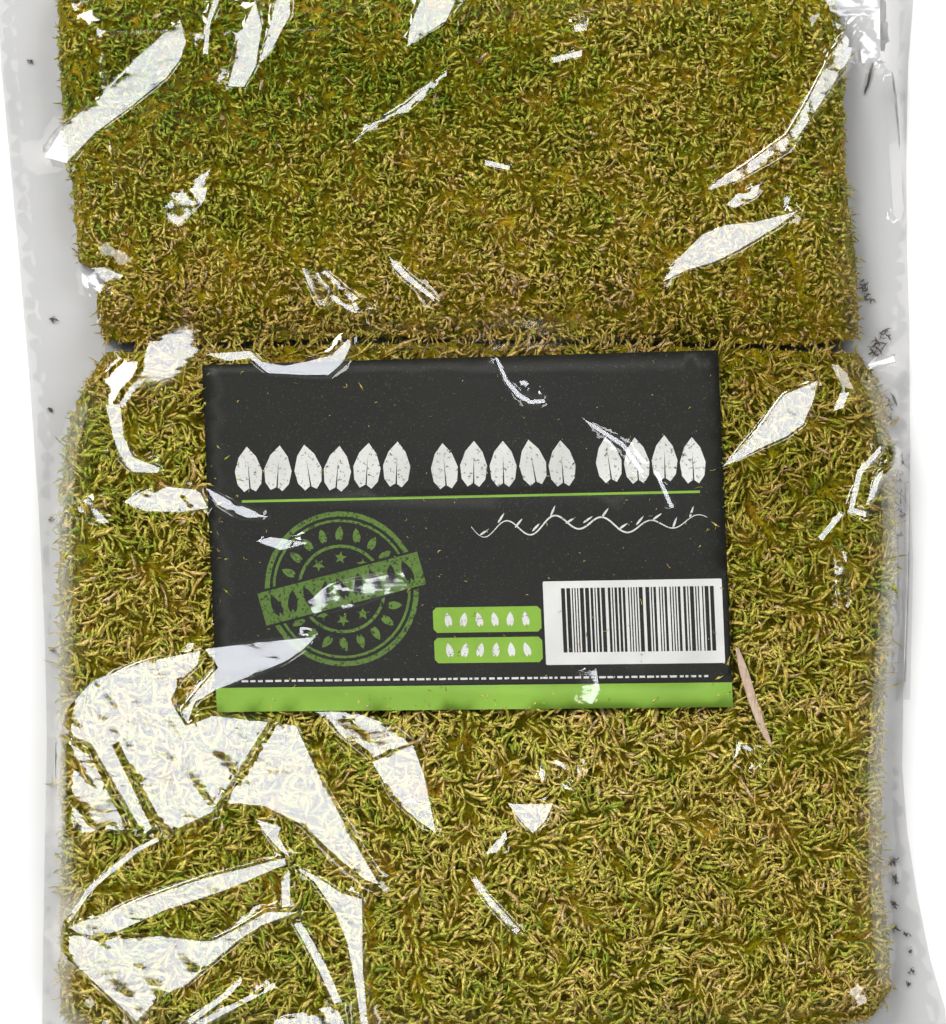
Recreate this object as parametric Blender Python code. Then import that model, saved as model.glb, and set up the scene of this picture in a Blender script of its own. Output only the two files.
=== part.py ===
"""A flat bag of dried sheet moss: two moss mats, a plain card and a dry stem between two clear films.

Units are metres and +Z is up. The bag lies on its back. The origin is under the middle of the bag,
on the surface that it lies on, and +Y runs towards the bag's top end.

Places in the plane are written in the pixels of a straight-down view of the bag, which `place` turns
into metres. MOSS_WIDTH, the real width of the moss, sets the scale.
"""

import math

import bmesh
import bpy
from mathutils import Vector, noise
from mathutils.geometry import delaunay_2d_cdt

# Driving sizes
MOSS_WIDTH = 0.280
MOSS_WIDTH_IN_VIEW = 830
VIEW_CENTRE = (473, 512)
FILM_THICKNESS = 0.0004
CARD_THICKNESS = 0.0005
STEM_THICKNESS = 0.0005
GAP = 0.0003

# How deep the moss lies in the bag
MOSS_DEPTH = 0.0205
MOSS_RIM_DEPTH = 0.0060
SHOULDER_REACH = 0.014
SWELL_HEIGHT = 0.0012
SWELL_SPACING = 0.110
FURROW_ROW = 338
FURROW_DEPTH = 0.0060
FURROW_HALF_WIDTH = 0.0075
TUFT_DEPTH = 0.0042
TUFT_SPACING = 0.017
TUFT_TOP_GAP = 0.0008
TUFT_ROUNDNESS = 2.2
LOWEST_TUFT = 0.0016

# How the front film lies on the moss
FILM_LIFT = 0.0014
FILM_SLOPE_REACH = 0.0050
TAUT_HEIGHT = 0.0190
TAUT_SLOPE = 0.85
STEEPEST_EDGE = 1.5
FILM_DIP = 0.0012
FILM_DIP_HALF_WIDTH = 0.016
CARD_SUPPORT_REACH = 0.020
FOLD_SLOPE = 0.09
FOLD_FLANK_SLOPE = 0.70
FOLD_FACING = math.radians(135)

# Spacing of the mesh points
MOSS_POINT_SPACING = 0.0090
FILM_POINT_SPACING = 0.0118
RIM_POINT_SPACING = 0.0085
RIM_RAGGEDNESS = 0.0013
RIM_RAGGEDNESS_SPACING = 0.006
RING_REACHES = (FILM_SLOPE_REACH, -0.15 * SHOULDER_REACH, -0.60 * SHOULDER_REACH)
RING_POINT_GAP = 0.0034
POINT_UNEVENNESS = 0.35
BACK_RIM_SPACING = 0.030
MERGE_DISTANCE = 1e-5
SHARP_ANGLE = math.radians(30)
CARD_COLUMNS = 6
CARD_ROWS = 5
STEM_STATIONS = 7

# Outlines in the view's pixels, anticlockwise as seen from above
BAG_RIGHT_EDGE = [(956, 1124), (946, 1010), (931, 960), (918, 896), (908, 832), (903, 768), (904, 704),
                  (909, 576), (911, 448), (910, 320), (908, 256), (907, 160), (909, 64), (914, 0),
                  (921, -100)]
BAG_LEFT_EDGE = [(-10, -100), (-3, 0), (0, 64), (6, 128), (18, 256), (29, 384), (38, 512), (44, 640),
                 (46, 736), (43, 896), (42, 960), (40, 1124)]
UPPER_MAT_SIDES = [(858, 338), (859, 300), (856, 256), (848, 200), (844, 130), (846, 60), (836, -5),
                   (780, -10), (640, -13), (500, -10), (360, -14), (230, -10), (110, -12), (60, -6),
                   (57, 40), (62, 110), (72, 190), (78, 262), (106, 276), (96, 300), (98, 322), (104, 340)]
UPPER_MAT_SEAM = [(160, 342), (250, 338), (360, 332), (480, 335), (600, 334), (700, 338), (800, 341)]
LOWER_MAT_SIDES = [(106, 354), (88, 378), (74, 410), (64, 448), (59, 520), (59, 600), (60, 700), (60, 860),
                   (60, 940), (58, 980), (60, 1014), (84, 1033), (160, 1038), (280, 1037), (420, 1040),
                   (560, 1036), (700, 1038), (800, 1034), (871, 1018), (891, 990), (890, 960), (884, 896),
                   (882, 850), (881, 770), (885, 704), (890, 640), (896, 576), (896, 520), (893, 450),
                   (885, 400), (872, 372), (858, 353)]
LOWER_MAT_SEAM = [(760, 353), (640, 348), (520, 347), (400, 346), (280, 350), (180, 354)]
CARD_CORNERS = {"top_left": (202, 365), "top_right": (718, 350),
                "low_right": (733, 707), "low_left": (217, 712)}
STEM_LINE = [(737, 648), (744, 672), (752, 698), (761, 724), (772, 748)]
STEM_HALF_WIDTHS = [0.0006, 0.0014, 0.0017, 0.0013, 0.0004]

# Main folds of the front film: each is a flat facet that leans towards FOLD_FACING
FOLDS = {
    "top_left_blade": [(45, 157), (62, 128), (100, 97), (160, 37), (180, 20), (180, 60), (130, 107),
                       (66, 163)],
    "top_left_fin": [(255, 0), (262, 27), (256, 66), (228, 86), (238, 39)],
    "top_fin": [(455, 0), (446, 21), (407, 47), (428, 0)],
    "right_long_pocket": [(856, 27), (850, 60), (805, 127), (738, 182), (708, 187), (787, 136), (829, 60)],
    "right_blade": [(663, 282), (702, 235), (757, 222), (811, 211), (763, 235), (714, 262)],
    "card_side_blade": [(722, 467), (757, 430), (784, 395), (817, 381), (803, 424), (760, 448)],
    "left_hook": [(106, 405), (124, 408), (133, 457), (160, 470), (121, 462)],
    "left_tab": [(124, 502), (169, 487), (199, 490), (208, 508), (150, 511)],
    "low_left_sheet": [(57, 719), (94, 680), (211, 650), (316, 637), (213, 712), (258, 722), (200, 811),
                       (163, 833), (60, 836)],
    "low_left_tail": [(268, 723), (296, 727), (332, 790), (379, 884), (302, 830), (241, 803), (214, 808)],
    "low_left_strip": [(57, 929), (151, 905), (284, 860), (284, 866), (196, 902), (109, 940)],
    "low_left_corner": [(57, 929), (109, 940), (187, 937), (297, 913), (211, 968), (136, 1021)],
    "low_right_strip": [(286, 861), (341, 893), (363, 920), (367, 1020), (350, 960), (314, 882)],
    "below_card_band": [(320, 730), (389, 724), (419, 742), (434, 833), (392, 797), (362, 748)],
    "below_card_tab": [(508, 804), (553, 804), (533, 833)],
}


def place(pixel):
    """The point, in metres, of a pixel of the view."""
    scale = MOSS_WIDTH / MOSS_WIDTH_IN_VIEW
    return Vector(((pixel[0] - VIEW_CENTRE[0]) * scale, (VIEW_CENTRE[1] - pixel[1]) * scale))


def nearest_on_segment(point, start, end):
    """The point of a segment that lies nearest to a point."""
    along = end - start
    share = (point - start).dot(along) / along.length_squared
    return start + along * min(1.0, max(0.0, share))


def nearest_on_outline(point, outline):
    """The point of a closed outline that lies nearest to a point."""
    sides = zip(outline, outline[1:] + outline[:1])
    candidates = [nearest_on_segment(point, a, b) for a, b in sides]
    return min(candidates, key=lambda near: (near - point).length_squared)


def is_inside(point, outline):
    """Whether a point lies inside a closed outline, by counting the sides to its right."""
    inside = False
    for a, b in zip(outline, outline[1:] + outline[:1]):
        if (a.y > point.y) != (b.y > point.y):
            crossing = a.x + (point.y - a.y) / (b.y - a.y) * (b.x - a.x)
            if crossing > point.x:
                inside = not inside
    return inside


def depth_inside(point, outline):
    """The distance from a point to an outline: positive inside it, negative outside."""
    distance = (nearest_on_outline(point, outline) - point).length
    return distance if is_inside(point, outline) else -distance


def smooth_share(value):
    """A share that goes smoothly from 0 to 1."""
    share = min(1.0, max(0.0, value))
    return share * share * (3.0 - 2.0 * share)


BAG_OUTLINE = [place(pixel) for pixel in BAG_RIGHT_EDGE + BAG_LEFT_EDGE]
CARD_OUTLINE = [place(CARD_CORNERS[name]) for name in ("top_left", "low_left", "low_right", "top_right")]
FOLD_OUTLINES = [[place(pixel) for pixel in outline] for outline in FOLDS.values()]
UPPER_MAT = [place(pixel) for pixel in UPPER_MAT_SIDES + UPPER_MAT_SEAM]
LOWER_MAT = [place(pixel) for pixel in LOWER_MAT_SIDES + LOWER_MAT_SEAM]
MOSS_OUTLINE = [place(pixel) for pixel in UPPER_MAT_SIDES + LOWER_MAT_SIDES]
FLOOR_OF_MOSS = FILM_THICKNESS + GAP
FACING = Vector((math.cos(FOLD_FACING), math.sin(FOLD_FACING)))


def crown_height(point):
    """The height of the moss without its tufts and its furrow: a low cushion with rounded shoulders."""
    depth = depth_inside(point, MOSS_OUTLINE)
    share = min(1.0, max(0.0, depth) / SHOULDER_REACH)
    roundness = math.sqrt(1.0 - (1.0 - share) ** 2)
    swell = SWELL_HEIGHT * noise.noise(Vector((point.x, point.y, 0.0)) / SWELL_SPACING)
    top = FLOOR_OF_MOSS + MOSS_RIM_DEPTH + (MOSS_DEPTH - MOSS_RIM_DEPTH + swell) * roundness
    outside = max(0.0, -depth) / FILM_SLOPE_REACH
    return top - (MOSS_RIM_DEPTH + 0.5 * FILM_LIFT) * smooth_share(outside)


def furrow_share(point, half_width):
    """How far a point lies in the furrow between the two mats, from 0 to 1."""
    distance = point.y - place((VIEW_CENTRE[0], FURROW_ROW)).y
    return math.exp(-((distance / half_width) ** 2))


def moss_top(point):
    """The top of the moss: tufts with creases between them, all of them below the crown."""
    crease = 1.0 - min(1.0, TUFT_ROUNDNESS * abs(noise.noise(Vector((point.x, point.y, 0.1)) / TUFT_SPACING)))
    dip = TUFT_TOP_GAP + TUFT_DEPTH * crease + FURROW_DEPTH * furrow_share(point, FURROW_HALF_WIDTH)
    return max(FLOOR_OF_MOSS + LOWEST_TUFT, crown_height(point) - dip)


def resting_height(point):
    """The height of the front film's underside without its folds: taut from the bag's edge up to the moss."""
    from_card = -depth_inside(point, CARD_OUTLINE)
    dip = FILM_DIP * furrow_share(point, FILM_DIP_HALF_WIDTH) * smooth_share(from_card / CARD_SUPPORT_REACH)
    taut = min(TAUT_HEIGHT, max(0.0, TAUT_SLOPE * depth_inside(point, BAG_OUTLINE)))
    return max(FLOOR_OF_MOSS + taut, crown_height(point) + FILM_LIFT - dip)


def fold_facet(outline):
    """The outline of a fold, the height that it starts from and how far its low edge faces."""
    start = max(resting_height(corner) for corner in outline)
    return outline, start, max(corner.dot(FACING) for corner in outline)


FOLD_FACETS = [fold_facet(outline) for outline in FOLD_OUTLINES]


def fold_height(point):
    """The height that the folds hold the film at: flat facets that lean one way, with steep flanks."""
    height = 0.0
    for outline, start, low_edge in FOLD_FACETS:
        near = point if is_inside(point, outline) else nearest_on_outline(point, outline)
        facet = start + FOLD_SLOPE * (low_edge - near.dot(FACING))
        height = max(height, facet - FOLD_FLANK_SLOPE * (near - point).length)
    return height


def film_underside(point):
    """The height of the front film's underside."""
    from_edge = depth_inside(point, BAG_OUTLINE)
    folded = min(fold_height(point), FLOOR_OF_MOSS + STEEPEST_EDGE * from_edge)
    height = max(resting_height(point), folded)
    return FLOOR_OF_MOSS + (height - FLOOR_OF_MOSS) * smooth_share(from_edge / FILM_SLOPE_REACH)


def fresh_object(name, mesh, material):
    """A new object in the scene, with one material."""
    mesh.materials.append(material)
    item = bpy.data.objects.new(name, mesh)
    bpy.context.scene.collection.objects.link(item)
    return item


def plain_material(name, colour, roughness, transmission=0.0):
    """A Principled material with one colour."""
    material = bpy.data.materials.new(name)
    material.use_nodes = True
    shader = material.node_tree.nodes["Principled BSDF"]
    shader.inputs["Base Color"].default_value = (*colour, 1.0)
    shader.inputs["Roughness"].default_value = roughness
    shader.inputs["Metallic"].default_value = 0.0
    shader.inputs["Transmission Weight"].default_value = transmission
    return material


def walk_outline(outline, spacing):
    """The points of a closed outline, with more between them so that none are much over the spacing apart."""
    points = []
    for a, b in zip(outline, outline[1:] + outline[:1]):
        steps = max(1, round((b - a).length / spacing))
        points += [a.lerp(b, step / steps) for step in range(steps)]
    return points


def outward_directions(points):
    """The direction that points straight out of an outline at each of its points."""
    neighbours = zip(points[-1:] + points[:-1], points[1:] + points[:1])
    chords = [after - before for before, after in neighbours]
    return [Vector((chord.y, -chord.x)).normalized() for chord in chords]


def roughen(points, reach):
    """Moves the points of an outline in and out a little, as the edge of a moss mat runs."""
    directions = outward_directions(points)
    moved = []
    for point, direction in zip(points, directions):
        shift = reach * noise.noise(Vector((point.x, point.y, 0.3)) / RIM_RAGGEDNESS_SPACING)
        moved.append(point + direction * shift)
    return moved


def ring_points(outline, reach, spacing):
    """Points along an outline, moved straight out by the reach, where they stay clear of its other sides."""
    points = walk_outline(outline, spacing)
    moved = [point + direction * reach for point, direction in zip(points, outward_directions(points))]
    return [point for point in moved if abs(depth_inside(point, outline)) > 0.8 * abs(reach)]


def thinned(points, spacing, clear_of):
    """The points that are at least the spacing away from each other and from the points given."""
    kept = []
    for point in points:
        if all((point - other).length > spacing for other in kept + clear_of):
            kept.append(point)
    return kept


def fill_points(outline, spacing, clear_of):
    """Points on a staggered, slightly uneven grid inside an outline, clear of the points given."""
    low_x, high_x = min(p.x for p in outline), max(p.x for p in outline)
    low_y, high_y = min(p.y for p in outline), max(p.y for p in outline)
    row_gap = spacing * math.sqrt(0.75)
    kept = []
    for row in range(int((high_y - low_y) / row_gap) + 1):
        for column in range(int((high_x - low_x) / spacing) + 1):
            base = Vector((low_x + (column + 0.5 * (row % 2)) * spacing, low_y + row * row_gap))
            seed = Vector((base.x, base.y, 0.7)) / (0.37 * spacing)
            shift = Vector((noise.noise(seed), noise.noise(seed + Vector((9, 9, 9)))))
            point = base + POINT_UNEVENNESS * spacing * shift
            near_rim = depth_inside(point, outline) < 0.5 * spacing
            if not near_rim and all((point - other).length > 0.5 * spacing for other in clear_of):
                kept.append(point)
    return kept


def triangulate(rim, loops, loose):
    """Triangles that fill a rim and keep the sides of the loops as edges."""
    points = list(rim)
    sides = [(index, (index + 1) % len(rim)) for index in range(len(rim))]
    for loop in loops:
        first = len(points)
        points += loop
        sides += [(first + index, first + (index + 1) % len(loop)) for index in range(len(loop))]
    points += loose
    corners, _, faces, origins, _, _ = delaunay_2d_cdt(points, sides, [], 1, MERGE_DISTANCE)
    rim_order = {}
    for index, found in enumerate(origins):
        for origin in found:
            rim_order[origin] = index
    return corners, faces, [rim_order[index] for index in range(len(rim))]


def slab(name, flat_mesh, top, underside, material):
    """A closed solid between two heights over one flat mesh. A number as underside makes one flat base."""
    corners, faces, rim = flat_mesh
    mesh = bpy.data.meshes.new(name)
    shape = bmesh.new()
    upper = [shape.verts.new((p.x, p.y, top(p))) for p in corners]
    for face in faces:
        shape.faces.new([upper[index] for index in face])
    if callable(underside):
        lower = {index: shape.verts.new((p.x, p.y, underside(p))) for index, p in enumerate(corners)}
        for face in faces:
            shape.faces.new([lower[index] for index in reversed(face)])
    else:
        lower = {index: shape.verts.new((*corners[index], underside)) for index in rim}
        shape.faces.new([lower[index] for index in reversed(rim)])
    for a, b in zip(rim, rim[1:] + rim[:1]):
        shape.faces.new((upper[a], lower[a], lower[b], upper[b]))
    bmesh.ops.recalc_face_normals(shape, faces=shape.faces)
    shape.to_mesh(mesh)
    shape.free()
    item = fresh_object(name, mesh, material)
    mesh.shade_smooth()
    mesh.set_sharp_from_angle(angle=SHARP_ANGLE)
    return item


def add_back_film(material):
    """The bag's back: a flat film that everything lies on."""
    rim = walk_outline(BAG_OUTLINE, BACK_RIM_SPACING)
    flat_mesh = (rim, [range(len(rim))], list(range(len(rim))))
    slab("bag_back_film", flat_mesh, lambda point: FILM_THICKNESS, 0.0, material)


def add_moss_mat(name, outline, material):
    """One mat of moss: a ragged outline, a flat base and a top of tufts."""
    rim = roughen(walk_outline(outline, RIM_POINT_SPACING), RIM_RAGGEDNESS)
    flat_mesh = triangulate(rim, [], fill_points(rim, MOSS_POINT_SPACING, []))
    slab(name, flat_mesh, moss_top, FLOOR_OF_MOSS, material)


def add_card(material):
    """The card: a thin sheet that rests on the crown of the moss."""
    corner = [place(CARD_CORNERS[name]) for name in ("low_left", "low_right", "top_left", "top_right")]
    points = []
    for row in range(CARD_ROWS + 1):
        for column in range(CARD_COLUMNS + 1):
            low = corner[0].lerp(corner[1], column / CARD_COLUMNS)
            high = corner[2].lerp(corner[3], column / CARD_COLUMNS)
            points.append(low.lerp(high, row / CARD_ROWS))
    wide = CARD_COLUMNS + 1
    faces = [(i, i + 1, i + 1 + wide, i + wide) for i in range(wide * CARD_ROWS) if i % wide < CARD_COLUMNS]
    rim = list(range(CARD_COLUMNS)) + [CARD_COLUMNS + wide * row for row in range(CARD_ROWS)]
    rim += [wide * CARD_ROWS + column for column in range(CARD_COLUMNS, 0, -1)]
    rim += [wide * row for row in range(CARD_ROWS, 0, -1)]
    slab("label_card", (points, faces, rim), lambda point: crown_height(point) + GAP + CARD_THICKNESS,
         lambda point: crown_height(point) + GAP, material)


def add_stem(material):
    """The dry stem: a flat blade with pointed ends, beside the card."""
    line = [place(pixel) for pixel in STEM_LINE]
    left, right = [], []
    for station in range(STEM_STATIONS):
        spot = station * (len(line) - 1) / (STEM_STATIONS - 1)
        index = min(len(line) - 2, int(spot))
        centre = line[index].lerp(line[index + 1], spot - index)
        near_half, far_half = STEM_HALF_WIDTHS[index:index + 2]
        half = near_half + (far_half - near_half) * (spot - index)
        across = (line[index + 1] - line[index]).orthogonal().normalized() * half
        left.append(centre + across)
        right.append(centre - across)
    count = STEM_STATIONS
    faces = [(count + i, count + i + 1, i + 1, i) for i in range(count - 1)]
    rim = list(range(count, 2 * count)) + list(range(count - 1, -1, -1))
    slab("dry_stem", (left + right, faces, rim), lambda point: crown_height(point) + GAP + STEM_THICKNESS,
         lambda point: crown_height(point) + GAP, material)


def add_front_film(material):
    """The bag's front: a film that drapes over the moss and the card, with its main folds."""
    rim = walk_outline(BAG_OUTLINE, FILM_POINT_SPACING)
    loops = [walk_outline(outline, FILM_POINT_SPACING) for outline in FOLD_OUTLINES]
    fold_points = []
    for outline in FOLD_OUTLINES:
        fold_points += walk_outline(outline, 0.5 * FILM_POINT_SPACING)
    rings = []
    for reach in RING_REACHES:
        rings += ring_points(MOSS_OUTLINE, reach, FILM_POINT_SPACING)
    rings = thinned(rings, RING_POINT_GAP, fold_points)
    rings = [point for point in rings if depth_inside(point, BAG_OUTLINE) > RING_POINT_GAP]
    loose = rings + fill_points(rim, FILM_POINT_SPACING, rings + fold_points)
    flat_mesh = triangulate(rim, loops, loose)
    slab("bag_front_film", flat_mesh, lambda point: film_underside(point) + FILM_THICKNESS,
         film_underside, material)


def main():
    """Builds the bag of moss."""
    for item in list(bpy.data.objects):
        bpy.data.objects.remove(item)
    film = plain_material("clear_film", (0.90, 0.91, 0.90), 0.08, transmission=0.9)
    add_back_film(film)
    add_moss_mat("moss_sheet_upper", UPPER_MAT, plain_material("upper_moss", (0.19, 0.17, 0.03), 0.9))
    add_moss_mat("moss_sheet_lower", LOWER_MAT, plain_material("lower_moss", (0.21, 0.18, 0.04), 0.9))
    add_card(plain_material("black_card", (0.045, 0.047, 0.038), 0.4))
    add_stem(plain_material("dry_straw", (0.66, 0.50, 0.36), 0.7))
    add_front_film(film)


main()
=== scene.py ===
import math

import bmesh
import bpy
import numpy as np
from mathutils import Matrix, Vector, noise
from mathutils.geometry import delaunay_2d_cdt


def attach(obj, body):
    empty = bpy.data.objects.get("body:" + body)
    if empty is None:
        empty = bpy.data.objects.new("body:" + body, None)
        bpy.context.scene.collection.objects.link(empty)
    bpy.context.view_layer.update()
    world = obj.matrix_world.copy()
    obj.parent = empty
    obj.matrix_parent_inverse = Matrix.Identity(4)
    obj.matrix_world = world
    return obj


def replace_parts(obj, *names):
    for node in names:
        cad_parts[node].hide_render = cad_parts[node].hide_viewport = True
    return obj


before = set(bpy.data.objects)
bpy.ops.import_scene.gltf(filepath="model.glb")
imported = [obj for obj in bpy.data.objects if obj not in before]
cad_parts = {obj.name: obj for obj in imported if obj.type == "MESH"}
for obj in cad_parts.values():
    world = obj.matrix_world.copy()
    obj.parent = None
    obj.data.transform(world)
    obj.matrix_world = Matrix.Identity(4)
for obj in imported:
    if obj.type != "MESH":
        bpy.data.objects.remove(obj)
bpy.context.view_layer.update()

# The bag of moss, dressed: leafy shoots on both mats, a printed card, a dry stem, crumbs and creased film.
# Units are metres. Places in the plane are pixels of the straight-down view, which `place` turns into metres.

RANDOM = np.random.default_rng(28035)

# Scale and outlines, the same as the solids have, apart from the seam, which the shoots close
MOSS_WIDTH = 0.280
MOSS_WIDTH_IN_VIEW = 830
VIEW_CENTRE = (473, 512)
VIEW_HEIGHT = 1024
PIXEL = MOSS_WIDTH / MOSS_WIDTH_IN_VIEW
MM = 0.001
UPPER_MAT_SIDES = [(858, 338), (859, 300), (856, 256), (848, 200), (844, 130), (846, 60), (836, -5),
                   (780, -10), (640, -13), (500, -10), (360, -14), (230, -10), (110, -12), (60, -6),
                   (57, 40), (62, 110), (72, 190), (78, 262), (106, 276), (96, 300), (98, 322), (104, 340)]
UPPER_MAT_SEAM = [(160, 346), (250, 342), (360, 337), (480, 340), (600, 339), (700, 342), (800, 345)]
LOWER_MAT_SIDES = [(106, 354), (88, 378), (74, 410), (64, 448), (59, 520), (59, 600), (60, 700), (60, 860),
                   (60, 940), (58, 980), (60, 1014), (84, 1033), (160, 1038), (280, 1037), (420, 1040),
                   (560, 1036), (700, 1038), (800, 1034), (871, 1018), (891, 990), (890, 960), (884, 896),
                   (882, 850), (881, 770), (885, 704), (890, 640), (896, 576), (896, 520), (893, 450),
                   (885, 400), (872, 372), (858, 353)]
LOWER_MAT_SEAM = [(760, 350), (640, 345), (520, 344), (400, 343), (280, 346), (180, 350)]
BAG_RIGHT_EDGE = [(956, 1124), (946, 1010), (931, 960), (918, 896), (908, 832), (903, 768), (904, 704),
                  (909, 576), (911, 448), (910, 320), (908, 256), (907, 160), (909, 64), (914, 0),
                  (921, -100)]
BAG_LEFT_EDGE = [(-10, -100), (-3, 0), (0, 64), (6, 128), (18, 256), (29, 384), (38, 512), (44, 640),
                 (46, 736), (43, 896), (42, 960), (40, 1124)]
CARD_CORNERS = {"top_left": (202, 365), "top_right": (718, 350),
                "low_right": (733, 707), "low_left": (217, 712)}
STEM_LINE = [(737, 648), (744, 672), (752, 698), (761, 724), (772, 748)]
STEM_HALF_WIDTHS = [0.6 * MM, 1.4 * MM, 1.7 * MM, 1.3 * MM, 0.4 * MM]

# How the moss and the film lie, as in the solids, but with narrower flanks at the folds and the bag's edge
FILM_THICKNESS = 0.4 * MM
CARD_THICKNESS = 0.5 * MM
GAP = 0.3 * MM
FLOOR_OF_MOSS = FILM_THICKNESS + GAP
MOSS_DEPTH = 20.5 * MM
MOSS_RIM_DEPTH = 6.0 * MM
SHOULDER_REACH = 14 * MM
SWELL_HEIGHT = 1.2 * MM
SWELL_SPACING = 110 * MM
FURROW_ROW = 338
FURROW_HALF_WIDTH = 7.5 * MM
FILM_LIFT = 1.4 * MM
FILM_SLOPE_REACH = 5.0 * MM
TAUT_HEIGHT = 19 * MM
TAUT_SLOPE = 0.85
STEEPEST_EDGE = 3.0
FILM_DIP = 1.2 * MM
FILM_DIP_HALF_WIDTH = 16 * MM
CARD_SUPPORT_REACH = 20 * MM
FOLD_SLOPE = 0.09
FOLD_FLANK_SLOPE = 4.0
FOLD_FACING = math.radians(135)
SHOWN_FILM_THICKNESS = 0.1 * MM

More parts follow.
